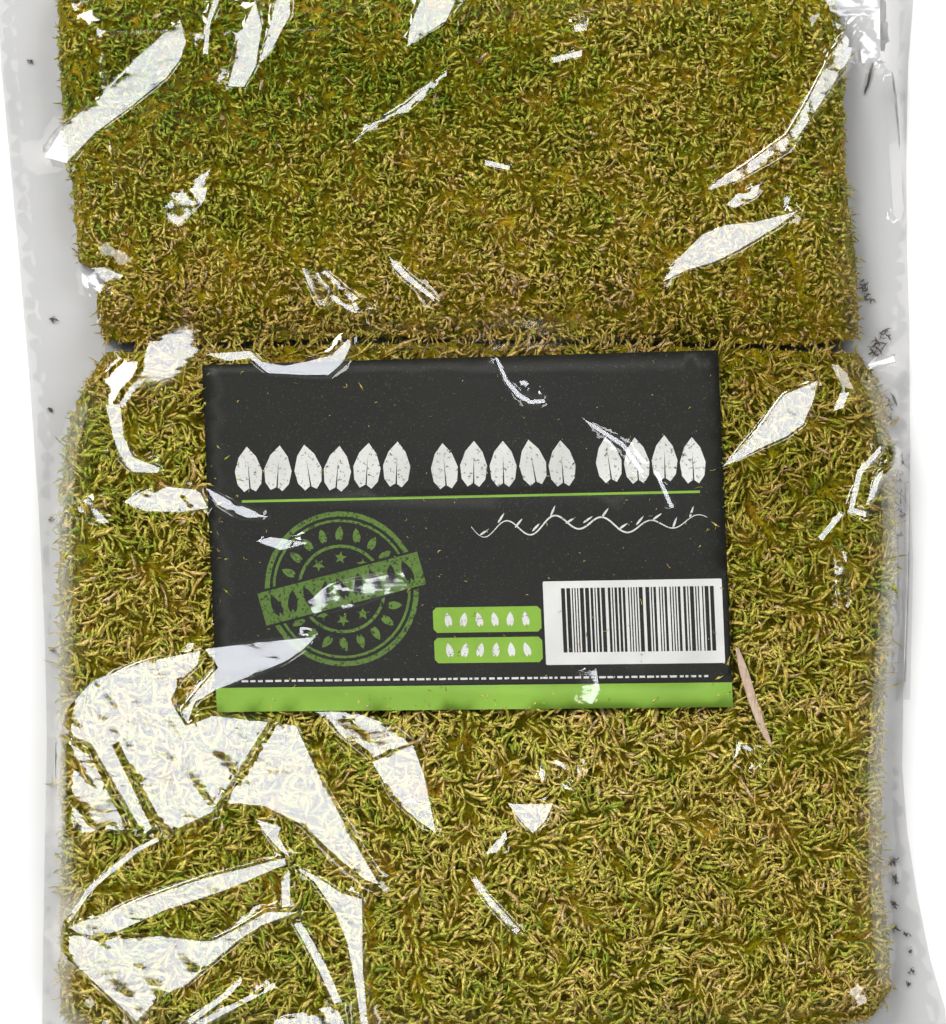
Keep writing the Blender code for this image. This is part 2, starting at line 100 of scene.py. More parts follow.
# Facets of the front film: how far each leans, as a share of FOLD_SLOPE, how crumpled it is, its outline
FOLDS = {
    "top_left_blade": (1.0, 0.3, [
        (45, 157), (62, 128), (100, 97), (132, 66), (160, 37), (180, 20), (186, 42), (180, 60), (166, 78),
        (130, 107), (95, 133), (66, 163)]),
    "top_fin": (1.0, 0.3, [
        (255, 0), (262, 27), (258, 51), (256, 66), (244, 87), (228, 86), (235, 60), (238, 39),
        (250, 12)]),
    "top_fin_side": (0.9, 0.4, [
        (278, -10), (290, 0), (290, 15), (271, 51), (259, 63), (265, 45), (272, 18)]),
    "top_fin_thread": (1.0, 0.0, [(216, -8), (219, 0), (210, 25), (208, 54), (203, 54), (206, 24)]),
    "top_beak": (1.0, 0.3, [(424, -8), (455, -8), (455, 2), (446, 21), (422, 36), (407, 47), (410, 27)]),
    "top_streak": (0.75, 0.8, [
        (350, 145), (377, 119), (407, 104), (428, 85), (446, 70), (447, 76), (430, 92), (409, 110),
        (379, 125)]),
    "top_spot": (0.8, 1.0, [(571, 18), (585, 16), (587, 30), (575, 32)]),
    "top_speck": (0.9, 0.4, [(551, 58), (582, 50), (582, 56), (553, 63)]),
    "left_speckle": (0.62, 1.5, [(160, 211), (193, 181), (211, 169), (205, 199), (178, 226)]),
    "middle_speckle": (0.62, 1.5, [
        (302, 268), (326, 271), (347, 290), (380, 311), (356, 313), (320, 305), (308, 284)]),
    "middle_thread": (1.0, 0.2, [
        (389, 257), (398, 263), (409, 275), (435, 297), (434, 301), (405, 279), (394, 268)]),
    "middle_dash": (0.9, 0.5, [(485, 160), (510, 166), (509, 170), (485, 165)]),
    "right_pocket_rim": (0.8, 0.7, [
        (858, 20), (850, 57), (829, 90), (805, 127), (787, 151), (738, 180), (708, 191), (708, 186),
        (744, 166), (787, 136), (805, 106), (829, 60), (845, 36)]),
    "right_corner_sheet": (0.7, 1.0, [(823, -5), (880, -5), (880, 60), (862, 64), (858, 24), (838, 30)]),
    "right_pocket_tip": (0.9, 0.5, [(726, 205), (738, 193), (760, 184), (757, 196), (735, 208)]),
    "right_blade": (1.0, 0.25, [
        (663, 282), (678, 259), (702, 235), (726, 225), (757, 222), (798, 211), (778, 226), (763, 235),
        (738, 250), (714, 262), (684, 271)]),
    "left_notch_tab": (0.62, 1.5, [(81, 271), (103, 267), (124, 276), (100, 293), (84, 293)]),
    "card_lip": (1.0, 0.2, [
        (205, 354), (229, 361), (250, 358), (268, 373), (305, 375), (329, 375), (344, 361), (351, 345),
        (348, 339), (332, 355), (310, 361), (285, 366), (262, 362), (250, 351)]),
    "left_hook": (1.0, 0.3, [
        (106, 405), (120, 404), (124, 436), (133, 457), (160, 468), (158, 473), (133, 472), (121, 460),
        (113, 436)]),
    "left_tab": (0.9, 0.6, [
        (124, 502), (136, 493), (169, 487), (199, 490), (208, 508), (181, 512), (145, 511)]),
    "card_left_tongue": (0.9, 0.4, [(205, 487), (235, 503), (268, 517), (241, 518), (217, 504)]),
    "left_rim_tab": (0.62, 1.5, [(65, 511), (90, 497), (109, 523), (94, 523)]),
    "card_dash": (0.8, 0.5, [(256, 541), (271, 537), (308, 543), (281, 550)]),
    "card_smear": (0.6, 1.0, [(308, 601), (332, 586), (392, 574), (407, 586), (362, 604), (314, 616)]),
    "card_top_thread": (1.0, 0.0, [
        (495, 358), (498, 358), (508, 380), (520, 393), (531, 400), (545, 399), (545, 403), (530, 404),
        (517, 397), (505, 382)]),
    "card_mid_thread": (0.9, 0.0, [
        (582, 418), (597, 426), (624, 443), (644, 472), (640, 473), (622, 447), (596, 430)]),
    "card_low_thread": (0.8, 0.2, [(654, 471), (658, 472), (674, 507), (670, 508)]),
    "card_base_smear": (0.7, 0.9, [(575, 672), (596, 668), (600, 690), (592, 704), (578, 700)]),
    "low_left_sheet": (1.0, 0.5, [
        (57, 719), (94, 680), (145, 662), (200, 651), (198, 664), (180, 680), (171, 700), (178, 714),
        (186, 726), (213, 716), (268, 722), (212, 812), (170, 832), (162, 822), (118, 742), (112, 745),
        (152, 828), (144, 834), (92, 744), (74, 736)]),
    "low_left_pale": (0.75, 0.9, [(56, 734), (72, 742), (90, 754), (128, 832), (110, 829), (58, 836)]),
    "low_left_upper_sheet": (1.0, 0.4, [
        (205, 649), (271, 641), (316, 637), (302, 650), (284, 662), (240, 680), (215, 690), (195, 702),
        (188, 722), (182, 712), (198, 690), (218, 668), (214, 660)]),
    "low_left_tail": (1.0, 0.4, [
        (264, 722), (296, 726), (320, 778), (350, 834), (379, 884), (366, 880), (341, 860), (302, 824),
        (265, 806), (236, 803), (209, 809)]),
    "low_left_ridge": (0.9, 0.2, [
        (64, 923), (89, 886), (135, 848), (180, 827), (181, 830), (137, 852), (92, 890), (67, 926)]),
    "low_left_strip": (1.0, 0.25, [
        (60, 930), (140, 900), (205, 878), (285, 858), (286, 864), (225, 890), (165, 910), (118, 931),
        (96, 936)]),
    "low_left_corner": (1.0, 0.3, [
        (57, 933), (109, 940), (160, 936), (200, 941), (213, 941), (240, 928), (267, 912), (297, 912),
        (262, 925), (238, 940), (212, 962), (185, 985), (160, 996), (137, 1021), (98, 985), (62, 952)]),
    "low_middle_strip": (1.0, 0.2, [
        (286, 911), (297, 913), (311, 938), (326, 965), (342, 1002), (334, 1003), (318, 968),
        (303, 940)]),
    "low_base_band": (0.9, 0.6, [(342, 1004), (302, 1012), (275, 1020), (270, 1040), (345, 1040)]),
    "low_right_strip": (1.0, 0.3, [
        (285, 861), (314, 875), (341, 893), (362, 899), (363, 971), (368, 1024), (362, 1030), (356, 987),
        (347, 941), (335, 911), (314, 881)]),
    "low_small_fin": (1.0, 0.2, [(256, 819), (281, 827), (278, 836), (290, 857), (281, 851), (265, 833)]),
    "low_post": (0.9, 0.5, [(281, 868), (290, 866), (290, 906), (282, 907)]),
    "low_base_streak": (0.9, 0.3, [
        (187, 1020), (229, 989), (241, 976), (242, 982), (230, 995), (190, 1025)]),
    "low_base_thread": (0.9, 0.2, [(196, 1022), (274, 983), (276, 987), (199, 1027)]),
    "below_card_band_start": (0.8, 1.0, [
        (316, 712), (350, 711), (392, 726), (412, 742), (372, 758), (345, 738)]),
    "below_card_band": (1.0, 0.4, [
        (372, 762), (413, 745), (424, 775), (436, 833), (419, 821), (392, 797), (380, 775)]),
    "below_card_tab": (1.0, 0.3, [(508, 804), (553, 804), (545, 821), (533, 833), (521, 821)]),
    "below_card_speckle": (0.62, 1.5, [
        (542, 760), (582, 760), (582, 772), (563, 778), (573, 790), (536, 787)]),
    "below_card_wedge": (0.9, 0.6, [(485, 854), (506, 830), (508, 851)]),
    "below_card_streak": (0.9, 0.6, [
        (471, 879), (476, 876), (488, 895), (520, 930), (516, 934), (483, 898)]),
    "below_stem_tab": (0.62, 1.5, [(738, 742), (760, 747), (764, 760), (748, 770), (730, 762)]),
    "card_side_blade": (1.0, 0.3, [
        (722, 467), (738, 451), (757, 430), (772, 410), (784, 395), (817, 381), (814, 399), (803, 424),
        (787, 436), (760, 448), (738, 460)]),
    "right_leaflet": (0.9, 0.3, [(833, 411), (840, 393), (849, 392), (843, 408)]),
    "right_long_thread": (0.95, 0.2, [
        (880, 446), (882, 451), (862, 474), (854, 508), (866, 512), (866, 517), (848, 512), (857, 471)]),
    "right_long_thread_twin": (0.9, 0.2, [
        (895, 458), (896, 463), (880, 480), (871, 505), (866, 504), (875, 477)]),
    "right_short_thread": (0.9, 0.2, [(818, 537), (839, 512), (843, 515), (822, 541)]),
    "right_speckle": (0.62, 1.5, [(833, 541), (846, 545), (848, 601), (836, 605)]),
    "right_rim_dash": (0.9, 0.3, [(868, 364), (894, 356), (895, 361), (870, 369)]),
    "right_margin_crease": (0.3, 0.1, [
        (884, 66), (892, 72), (899, 140), (906, 208), (902, 222), (894, 214), (889, 140)]),
    "right_margin_fold": (0.3, 0.1, [
        (899, 455), (910, 470), (914, 560), (911, 700), (905, 700), (903, 560)]),
    "right_rim_star": (0.95, 0.8, [(880, 450), (896, 444), (910, 458), (900, 468), (886, 464)]),
}


def place(pixel):
    """The point, in metres, of a pixel of the view."""
    return ((pixel[0] - VIEW_CENTRE[0]) * PIXEL, (VIEW_CENTRE[1] - pixel[1]) * PIXEL)


def places(pixels):
    """The points, in metres, of several pixels, as an array."""
    return np.array([place(pixel) for pixel in pixels])


BAG_OUTLINE = places(BAG_RIGHT_EDGE + BAG_LEFT_EDGE)
UPPER_MAT = places(UPPER_MAT_SIDES + UPPER_MAT_SEAM)
LOWER_MAT = places(LOWER_MAT_SIDES + LOWER_MAT_SEAM)
MOSS_OUTLINE = places(UPPER_MAT_SIDES + LOWER_MAT_SIDES)
CARD_OUTLINE = places([CARD_CORNERS[name] for name in ("top_left", "low_left", "low_right", "top_right")])


# Plane geometry on arrays of points

def is_inside(points, outline):
    """Which points lie inside a closed outline, by counting the sides to their right."""
    inside = np.zeros(len(points), bool)
    for a, b in zip(outline, np.roll(outline, -1, axis=0)):
        if a[1] != b[1]:
            spans = (a[1] > points[:, 1]) != (b[1] > points[:, 1])
            crossing = a[0] + (points[:, 1] - a[1]) / (b[1] - a[1]) * (b[0] - a[0])
            inside ^= spans & (crossing > points[:, 0])
    return inside


def nearest_on_outline(points, outline):
    """The nearest points of a closed outline, and their distances."""
    best = np.full(len(points), np.inf)
    nearest = np.zeros_like(points)
    for a, b in zip(outline, np.roll(outline, -1, axis=0)):
        along = b - a
        share = np.clip((points - a) @ along / (along @ along), 0.0, 1.0)
        near = a + share[:, None] * along
        gap = np.hypot(*(points - near).T)
        closer = gap < best
        best[closer] = gap[closer]
        nearest[closer] = near[closer]
    return nearest, best


def depth_inside(points, outline):
    """The distances from points to an outline: positive inside it, negative outside."""
    _, gap = nearest_on_outline(points, outline)
    return np.where(is_inside(points, outline), gap, -gap)


def smooth_share(value):
    """Shares that go smoothly from 0 to 1."""
    share = np.clip(value, 0.0, 1.0)
    return share * share * (3.0 - 2.0 * share)


def ripples(points, spacing, level=0.0):
    """Smooth noise in the plane, from -1 to 1."""
    return np.array([noise.noise(Vector((x / spacing, y / spacing, level))) for x, y in points])


def walk_outline(outline, spacing):
    """The points of a closed outline, with more between them so that none are much over the spacing apart."""
    points = []
    for a, b in zip(outline, np.roll(outline, -1, axis=0)):
        steps = max(1, round(math.dist(a, b) / spacing))
        points += [a + (b - a) * step / steps for step in range(steps)]
    return np.array(points)


def sideways(line):
    """Unit steps to one side of each point of an open line."""
    ahead = np.gradient(line, axis=0)
    ahead /= np.linalg.norm(ahead, axis=1, keepdims=True)
    return np.stack([-ahead[:, 1], ahead[:, 0]], axis=1)


def unit_step(angle):
    """Steps of length one in the plane, at one angle or at several."""
    return np.stack([np.cos(angle), np.sin(angle)], axis=-1)


# Heights of the moss and the film

def exact_crown(points):
    """The height of the moss without its tufts and its furrow: a low cushion with rounded shoulders."""
    depth = depth_inside(points, MOSS_OUTLINE)
    share = np.clip(depth / SHOULDER_REACH, 0.0, 1.0)
    roundness = np.sqrt(1.0 - (1.0 - share) ** 2)
    swell = SWELL_HEIGHT * ripples(points, SWELL_SPACING)
    top = FLOOR_OF_MOSS + MOSS_RIM_DEPTH + (MOSS_DEPTH - MOSS_RIM_DEPTH + swell) * roundness
    outside = np.clip(-depth, 0.0, None) / FILM_SLOPE_REACH
    return top - (MOSS_RIM_DEPTH + 0.5 * FILM_LIFT) * smooth_share(outside)


class HeightMap:
    """Heights worked out once on a grid, and read between its points."""

    def __init__(self, height, spacing):
        low, high = BAG_OUTLINE.min(axis=0) - spacing, BAG_OUTLINE.max(axis=0) + 2 * spacing
        self.low, self.spacing = low, spacing
        self.columns = int((high[0] - low[0]) / spacing) + 1
        self.rows = int((high[1] - low[1]) / spacing) + 1
        x, y = np.meshgrid(np.arange(self.columns), np.arange(self.rows))
        points = low + spacing * np.stack([x.ravel(), y.ravel()], axis=1)
        self.heights = height(points).reshape(self.rows, self.columns)

    def __call__(self, points):
        spot = (np.asarray(points) - self.low) / self.spacing
        column = np.clip(spot[:, 0].astype(int), 0, self.columns - 2)
        row = np.clip(spot[:, 1].astype(int), 0, self.rows - 2)
        right, up = np.clip(spot[:, 0] - column, 0, 1), np.clip(spot[:, 1] - row, 0, 1)
        low = self.heights[row, column] * (1 - right) + self.heights[row, column + 1] * right
        high = self.heights[row + 1, column] * (1 - right) + self.heights[row + 1, column + 1] * right
        return low * (1 - up) + high * up


crown_height = HeightMap(exact_crown, 1.5 * MM)


def furrow_share(points, half_width):
    """How far points lie in the furrow between the two mats, from 0 to 1."""
    distance = points[:, 1] - place((0, FURROW_ROW))[1]
    return np.exp(-((distance / half_width) ** 2))


def resting_height(points):
    """The height of the front film's underside without its folds: taut from the bag's edge up to the moss."""
    from_card = -depth_inside(points, CARD_OUTLINE)
    dip = FILM_DIP * furrow_share(points, FILM_DIP_HALF_WIDTH) * smooth_share(from_card / CARD_SUPPORT_REACH)
    taut = np.clip(TAUT_SLOPE * depth_inside(points, BAG_OUTLINE), 0.0, TAUT_HEIGHT)
    return np.maximum(FLOOR_OF_MOSS + taut, exact_crown(points) + FILM_LIFT - dip)


def fold_height(points):
    """The height that the folds hold the film at: flat facets that lean one way, with steep flanks."""
    facing = unit_step(FOLD_FACING)
    height = np.zeros(len(points))
    for lean, _, pixels in FOLDS.values():
        outline = places(pixels)
        near, gap = nearest_on_outline(points, outline)
        inside = is_inside(points, outline)
        near[inside] = points[inside]
        gap[inside] = 0.0
        lean_slope = lean * FOLD_SLOPE
        sides = walk_outline(outline, 4 * MM)
        start = (resting_height(sides) + lean_slope * sides @ facing).max()
        height = np.maximum(height, start - lean_slope * near @ facing - FOLD_FLANK_SLOPE * gap)
    return height


def film_underside(points):
    """The height of the front film's underside."""
    from_edge = depth_inside(points, BAG_OUTLINE)
    folded = np.minimum(fold_height(points), FLOOR_OF_MOSS + STEEPEST_EDGE * from_edge)
    height = np.maximum(resting_height(points), folded)
    return FLOOR_OF_MOSS + (height - FLOOR_OF_MOSS) * smooth_share(from_edge / FILM_SLOPE_REACH)


# Meshes

def show(name, mesh, materials):
    """Puts a mesh in the scene as a piece of the bag."""
    for material in materials:
        mesh.materials.append(material)
    piece = bpy.data.objects.new(name, mesh)
    bpy.context.scene.collection.objects.link(piece)
    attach(piece, "root")
    return piece


RIM_CLEARANCE = 0.45


def staggered_points(outline, spacing, unevenness):
    """Points on a staggered, uneven grid inside an outline, clear of it by a share of the spacing."""
    low, high = outline.min(axis=0), outline.max(axis=0)
    row_gap = spacing * math.sqrt(0.75)
    rows = np.arange(int((high[1] - low[1]) / row_gap) + 1)
    columns = np.arange(int((high[0] - low[0]) / spacing) + 1)
    column, row = (part.ravel() for part in np.meshgrid(columns, rows))
    points = low + np.stack([(column + 0.5 * (row % 2)) * spacing, row * row_gap], axis=1)
    points = points + RANDOM.uniform(-unevenness, unevenness, points.shape) * spacing
    return points[depth_inside(points, outline) > RIM_CLEARANCE * spacing]


def triangulate(rim, loops, loose):
    """Triangles that fill a rim and keep the loops' sides as edges: corners, faces, rim and creases."""
    points = [Vector(point) for point in rim]
    sides = [(index, (index + 1) % len(rim)) for index in range(len(rim))]
    for loop in loops:
        first = len(points)
        points += [Vector(point) for point in loop]
        sides += [(first + index, first + (index + 1) % len(loop)) for index in range(len(loop))]
    points += [Vector(point) for point in loose]
    corners, edges, faces, origins, edge_origins, _ = delaunay_2d_cdt(points, sides, [], 1, 1e-6)
    rim_order = {origin: index for index, found in enumerate(origins)
                 for origin in found if origin < len(rim)}
    creases = [edge for edge, found in zip(edges, edge_origins) if any(side >= len(rim) for side in found)]
    return np.array(corners), faces, [rim_order[index] for index in range(len(rim))], creases


def slab(name, flat_mesh, top, underside, paint=None):
    """A closed mesh between two lists of heights over one flat mesh; `paint` gives top faces a material."""
    corners, faces, rim, creases = flat_mesh
    shape = bmesh.new()
    upper = [shape.verts.new((x, y, z)) for (x, y), z in zip(corners, top)]
    lower = [shape.verts.new((x, y, z)) for (x, y), z in zip(corners, underside)]
    for index, face in enumerate(faces):
        made = shape.faces.new([upper[corner] for corner in face])
        made.material_index = paint[index] if paint is not None else 0
        shape.faces.new([lower[corner] for corner in reversed(face)])
    for a, b in zip(rim, rim[1:] + rim[:1]):
        shape.faces.new((upper[a], lower[a], lower[b], upper[b]))
    for face in shape.faces:
        face.smooth = True
    for a, b in creases:
        for side in (upper, lower):
            edge = shape.edges.get((side[a], side[b]))
            if edge:
                edge.smooth = False
    mesh = bpy.data.meshes.new(name)
    shape.to_mesh(mesh)
    shape.free()
    return mesh


LEAF_TWIST = 0.5
FULL_ROLL = 6.28


def spindles(name, paths, half_widths, flatness, roll, values=None):
    """Many closed three-sided spindles in one mesh: each twists along its path, as leaves do, to a point."""
    count, stations, _ = paths.shape
    tangent = np.gradient(paths, axis=1)
    tangent /= np.linalg.norm(tangent, axis=2, keepdims=True) + 1e-12
    across = np.cross(tangent, (0.0, 0.0, 1.0))
    across /= np.linalg.norm(across, axis=2, keepdims=True) + 1e-9
    above = np.cross(across, tangent)
    rings = []
    for side in range(3):
        turn = (roll[:, None] + LEAF_TWIST * np.arange(stations) + side * 2 * math.pi / 3)[..., None]
        spoke = np.cos(turn) * across + flatness * np.sin(turn) * above
        rings.append(paths + half_widths[..., None] * spoke)
    rings = np.stack(rings, axis=2)[:, :-1]
    per_spindle = 3 * (stations - 1) + 1
    points = np.concatenate([rings.reshape(count, -1, 3), paths[:, -1:]], axis=1)
    walls = [(3 * s + i, 3 * s + (i + 1) % 3, 3 * s + 3 + (i + 1) % 3, 3 * s + 3 + i)
             for s in range(stations - 2) for i in range(3)]
    last = 3 * (stations - 2)
    ends = [(last + i, last + (i + 1) % 3, per_spindle - 1) for i in range(3)] + [(0, 2, 1)]
    starts = per_spindle * np.arange(count)[:, None, None]
    quads = (np.array(walls)[None] + starts).reshape(-1, 4)
    triangles = (np.array(ends)[None] + starts).reshape(-1, 3)
    mesh = bpy.data.meshes.new(name)
    mesh.vertices.add(count * per_spindle)
    mesh.vertices.foreach_set("co", points.reshape(-1))
    corners = np.concatenate([quads.ravel(), triangles.ravel()])
    mesh.loops.add(len(corners))
    mesh.loops.foreach_set("vertex_index", corners)
    sizes = np.concatenate([np.full(len(quads), 4), np.full(len(triangles), 3)])
    mesh.polygons.add(len(sizes))
    mesh.polygons.foreach_set("loop_start", np.concatenate([[0], np.cumsum(sizes)[:-1]]))
    mesh.update(calc_edges=True)
    mesh.validate()
    mesh.shade_smooth()
    along = np.repeat(np.linspace(0.0, 1.0, stations)[:-1], 3)
    along = np.tile(np.append(along, 1.0), count)
    attributes = {"along": along}
    for title, per_piece in (values or {}).items():
        attributes[title] = np.repeat(per_piece, per_spindle)
    for title, numbers in attributes.items():
        mesh.attributes.new(title, "FLOAT", "POINT").data.foreach_set("value", numbers.astype(np.float32))
    return mesh


# Finishes

def node_group(name, inputs, outputs):
    """A shader node group with its named number inputs and its outputs, and its input and output nodes."""
    tree = bpy.data.node_groups.new(name, "ShaderNodeTree")
    for title, value in inputs.items():
        socket = tree.interface.new_socket(title, in_out="INPUT", socket_type="NodeSocketFloat")
        socket.default_value = value
    for title, kind in outputs.items():
        tree.interface.new_socket(title, in_out="OUTPUT", socket_type=kind)
    return tree, tree.nodes.new("NodeGroupInput").outputs, tree.nodes.new("NodeGroupOutput").inputs


class NodeMaker:
    """Short calls that add nodes to one tree. A value may be a number, a colour or another node's output."""

    def __init__(self, tree):
        self.tree = tree

    def node(self, kind, inputs=None, **settings):
        made = self.tree.nodes.new(kind)
        for name, value in settings.items():
            setattr(made, name, value)
        self.wire(made, inputs or {})
        return made

    def wire(self, made, inputs):
        for name, value in inputs.items():
            self.feed(made.inputs[name], value)

    def feed(self, socket, value):
        if isinstance(value, bpy.types.NodeSocket):
            self.tree.links.new(value, socket)
        elif hasattr(socket.default_value, "__len__") and not hasattr(value, "__len__"):
            socket.default_value = (value,) * len(socket.default_value)
        elif hasattr(value, "__len__") and len(value) == 3 and len(socket.default_value) == 4:
            socket.default_value = (*value, 1.0)
        else:
            socket.default_value = value

    def math(self, operation, a, b=0.0, clamp=False):
        made = self.node("ShaderNodeMath", {0: a, 1: b}, operation=operation, use_clamp=clamp)
        return made.outputs[0]

    def mix(self, share, a, b):
        made = self.node("ShaderNodeMix", data_type="RGBA")
        self.wire(made, {"Factor": share, 6: a, 7: b})
        return made.outputs[2]

    def blend(self, share, a, b):
        return self.node("ShaderNodeMixShader", {0: share, 1: a, 2: b}).outputs[0]

    def spread(self, value, low, high, to_low=0.0, to_high=1.0):
        made = self.node("ShaderNodeMapRange", {"Value": value, "From Min": low, "From Max": high,
                                                "To Min": to_low, "To Max": to_high})
        return made.outputs["Result"]

    def ramp(self, value, stops):
        made = self.node("ShaderNodeValToRGB", {"Fac": value})
        scale = made.color_ramp.elements
        while len(scale) < len(stops):
            scale.new(0.5)
        for element, (position, colour) in zip(scale, stops):
            element.position = position
            element.color = (*colour, 1.0)
        return made.outputs["Color"]

    def spots(self, stretch=(1.0, 1.0, 1.0), turn=0.0):
        where = self.node("ShaderNodeTexCoord").outputs["Object"]
        made = self.node("ShaderNodeMapping", {"Vector": where, "Scale": stretch,
                                               "Rotation": (0.0, 0.0, turn)})
        return made.outputs["Vector"]

    def noise(self, scale, detail=2.0, where=None, roughness=0.5):
        made = self.node("ShaderNodeTexNoise", {"Scale": scale, "Detail": detail, "Roughness": roughness,
                                                "Vector": where if where is not None else self.spots()})
        return made.outputs["Fac"]

    def attribute(self, name):
        return self.node("ShaderNodeAttribute", attribute_name=name).outputs["Fac"]

    def bump(self, height, strength, distance):
        made = self.node("ShaderNodeBump", {"Height": height, "Strength": strength, "Distance": distance})
        return made.outputs["Normal"]


def make_leaf_mottle():
    """Small leaf-sized lights and darks, with the height of the leaves."""
    tree, given, made = node_group("leaf_mottle", {"Leaves per Metre": 1400.0, "Contrast": 1.0},
                                   {"Shade": "NodeSocketFloat", "Height": "NodeSocketFloat"})
    use = NodeMaker(tree)
    leaves = use.noise(given["Leaves per Metre"], detail=1.0)
    centred = use.math("MULTIPLY", use.math("SUBTRACT", leaves, 0.5), given["Contrast"])
    use.feed(made["Shade"], use.math("ADD", centred, 1.0))
    use.feed(made["Height"], leaves)
    return tree


def make_print_wear():
    """Where ink or paper is rubbed thin, and the fine tooth of the paper."""
    tree, given, made = node_group("print_wear", {"Spots per Metre": 500.0, "Wear": 0.3},
                                   {"Kept": "NodeSocketFloat", "Tooth": "NodeSocketFloat"})
    use = NodeMaker(tree)
    rub = use.noise(given["Spots per Metre"], detail=4.0, roughness=0.7)
    edge = use.math("SUBTRACT", rub, use.math("MULTIPLY", given["Wear"], 0.8))
    use.feed(made["Kept"], use.math("MULTIPLY", edge, 9.0, clamp=True))
    use.feed(made["Tooth"], use.noise(2600.0, detail=2.0))
    return tree


def finish(name):
    """A new material: itself, its node maker and its Principled shader."""
    material = bpy.data.materials.new(name)
    material.use_nodes = True
    use = NodeMaker(material.node_tree)
    return material, use, material.node_tree.nodes["Principled BSDF"]


LEAF_MOTTLE = make_leaf_mottle()
PRINT_WEAR = make_print_wear()
# Colours of moss by how dry it is, from 0 to 1
TIP_COLOURS = [(0.0, (0.30, 0.46, 0.012)), (0.3, (0.63, 0.62, 0.035)), (0.55, (0.90, 0.70, 0.10)),
               (0.78, (0.92, 0.58, 0.13)), (1.0, (0.90, 0.68, 0.42))]
# Foot colours are darker and browner than tip colours: partly the older, browner foot of a shoot, partly
# painted shade deep in the moss
SHADED_FOOT_COLOURS = [(0.0, (0.16, 0.22, 0.001)), (0.5, (0.46, 0.34, 0.003)), (1.0, (0.58, 0.30, 0.03))]
# A pale colour for dry, sun-bleached leaves, also used as a painted sheen on the brightest leaves
BLEACHED_LEAF_AND_SHEEN = (0.88, 0.86, 0.56)
# Colours of the bed, from its darkest patches to its brownest
BED_COLOURS = [(0.3, (0.14, 0.15, 0.001)), (0.5, (0.30, 0.24, 0.002)), (0.75, (0.55, 0.31, 0.02))]


def shoot_finish():
    """Moss shoots: dark at the foot, partly browner old growth and partly painted shade deep in the moss,
    pale at the tip, with a painted sheen on the brightest leaves, and from green through olive to straw as
    they dry.
    """
    material, use, shader = finish("moss_shoots")
    mottle = use.node("ShaderNodeGroup", {"Leaves per Metre": 1700.0, "Contrast": 1.9}, node_tree=LEAF_MOTTLE)
    along, tone, dryness = (use.attribute(title) for title in ("along", "tone", "dryness"))
    rise = use.math("MULTIPLY", use.spread(along, 0.05, 0.75), mottle.outputs["Shade"], clamp=True)
    light = use.math("MULTIPLY", use.spread(tone, 0.0, 1.0, 0.52, 1.18), mottle.outputs["Shade"])
    # Painted shade: each shoot is mixed from the darker foot colours low down to the tip colours higher up
    leaf = use.mix(rise, use.ramp(dryness, SHADED_FOOT_COLOURS), use.ramp(dryness, TIP_COLOURS))
    lit = use.node("ShaderNodeHueSaturation", {"Color": leaf, "Value": light})
    # Painted sheen: the brightest leaves, more so where dry, are mixed towards a pale colour, partly bleached
    # leaf and partly painted highlight
    painted_sheen_share = use.spread(light, 0.6, 1.6, 0.0, 0.40)
    bleach_and_sheen = use.math("MULTIPLY", painted_sheen_share, use.spread(dryness, 0.1, 0.6, 0.3, 1.0))
    use.wire(shader, {"Base Color": use.mix(bleach_and_sheen, lit.outputs["Color"], BLEACHED_LEAF_AND_SHEEN),
                      "Roughness": use.spread(mottle.outputs["Height"], 0.3, 0.7, 0.60, 0.40),
                      "Specular IOR Level": 0.25})
    return material


def bed_finish():
    """The dark, matted inside of the moss that shows between the shoots."""
    material, use, shader = finish("moss_bed")
    mottle = use.node("ShaderNodeGroup", {"Leaves per Metre": 900.0, "Contrast": 2.0}, node_tree=LEAF_MOTTLE)
    patches = use.ramp(use.noise(90.0, detail=3.0), BED_COLOURS)
    colour = use.node("ShaderNodeHueSaturation", {"Color": patches, "Value": mottle.outputs["Shade"]})
    use.wire(shader, {"Base Color": colour.outputs["Color"],
                      "Roughness": use.spread(mottle.outputs["Height"], 0.3, 1.0, 0.95, 0.8),
                      "Specular IOR Level": 0.1,
                      "Normal": use.bump(mottle.outputs["Height"], 1.0, 0.8 * MM)})
    return material


def film_finish():
    """Clear film: it lets light through, and only the shine of its two faces shows."""
    material, use, shader = finish("clear_film")
    streaks = use.noise(1.0, detail=2.0, where=use.spots(stretch=(45.0, 190.0, 100.0), turn=math.radians(50)))
    normal = use.bump(streaks, 0.10, 1.0 * MM)
    use.wire(shader, {"Base Color": (0.97, 0.95, 0.93), "Metallic": 1.0, "Normal": normal,
                      "Roughness": use.spread(streaks, 0.3, 0.7, 0.04, 0.09)})
    shine = use.node("ShaderNodeFresnel", {"IOR": 1.52, "Normal": normal})
    two_faces = use.math("MULTIPLY", shine.outputs[0], 2.0, clamp=True)
    clear = use.node("ShaderNodeBsdfTransparent", {"Color": (0.98, 0.98, 0.98)})
    outer = use.blend(two_faces, clear.outputs[0], shader.outputs[0])
    path = use.node("ShaderNodeLightPath")
    inner_face = use.node("ShaderNodeNewGeometry").outputs["Backfacing"]
    plain = use.math("MAXIMUM", path.outputs["Is Shadow Ray"], inner_face)
    let_through = use.node("ShaderNodeBsdfTransparent", {"Color": (0.95, 0.95, 0.95)})
    output = next(node for node in use.tree.nodes if node.type == "OUTPUT_MATERIAL")
    use.tree.links.new(use.blend(plain, outer, let_through.outputs[0]), output.inputs["Surface"])
    return material


PRINT_ROUGHNESS = (0.42, 0.57)


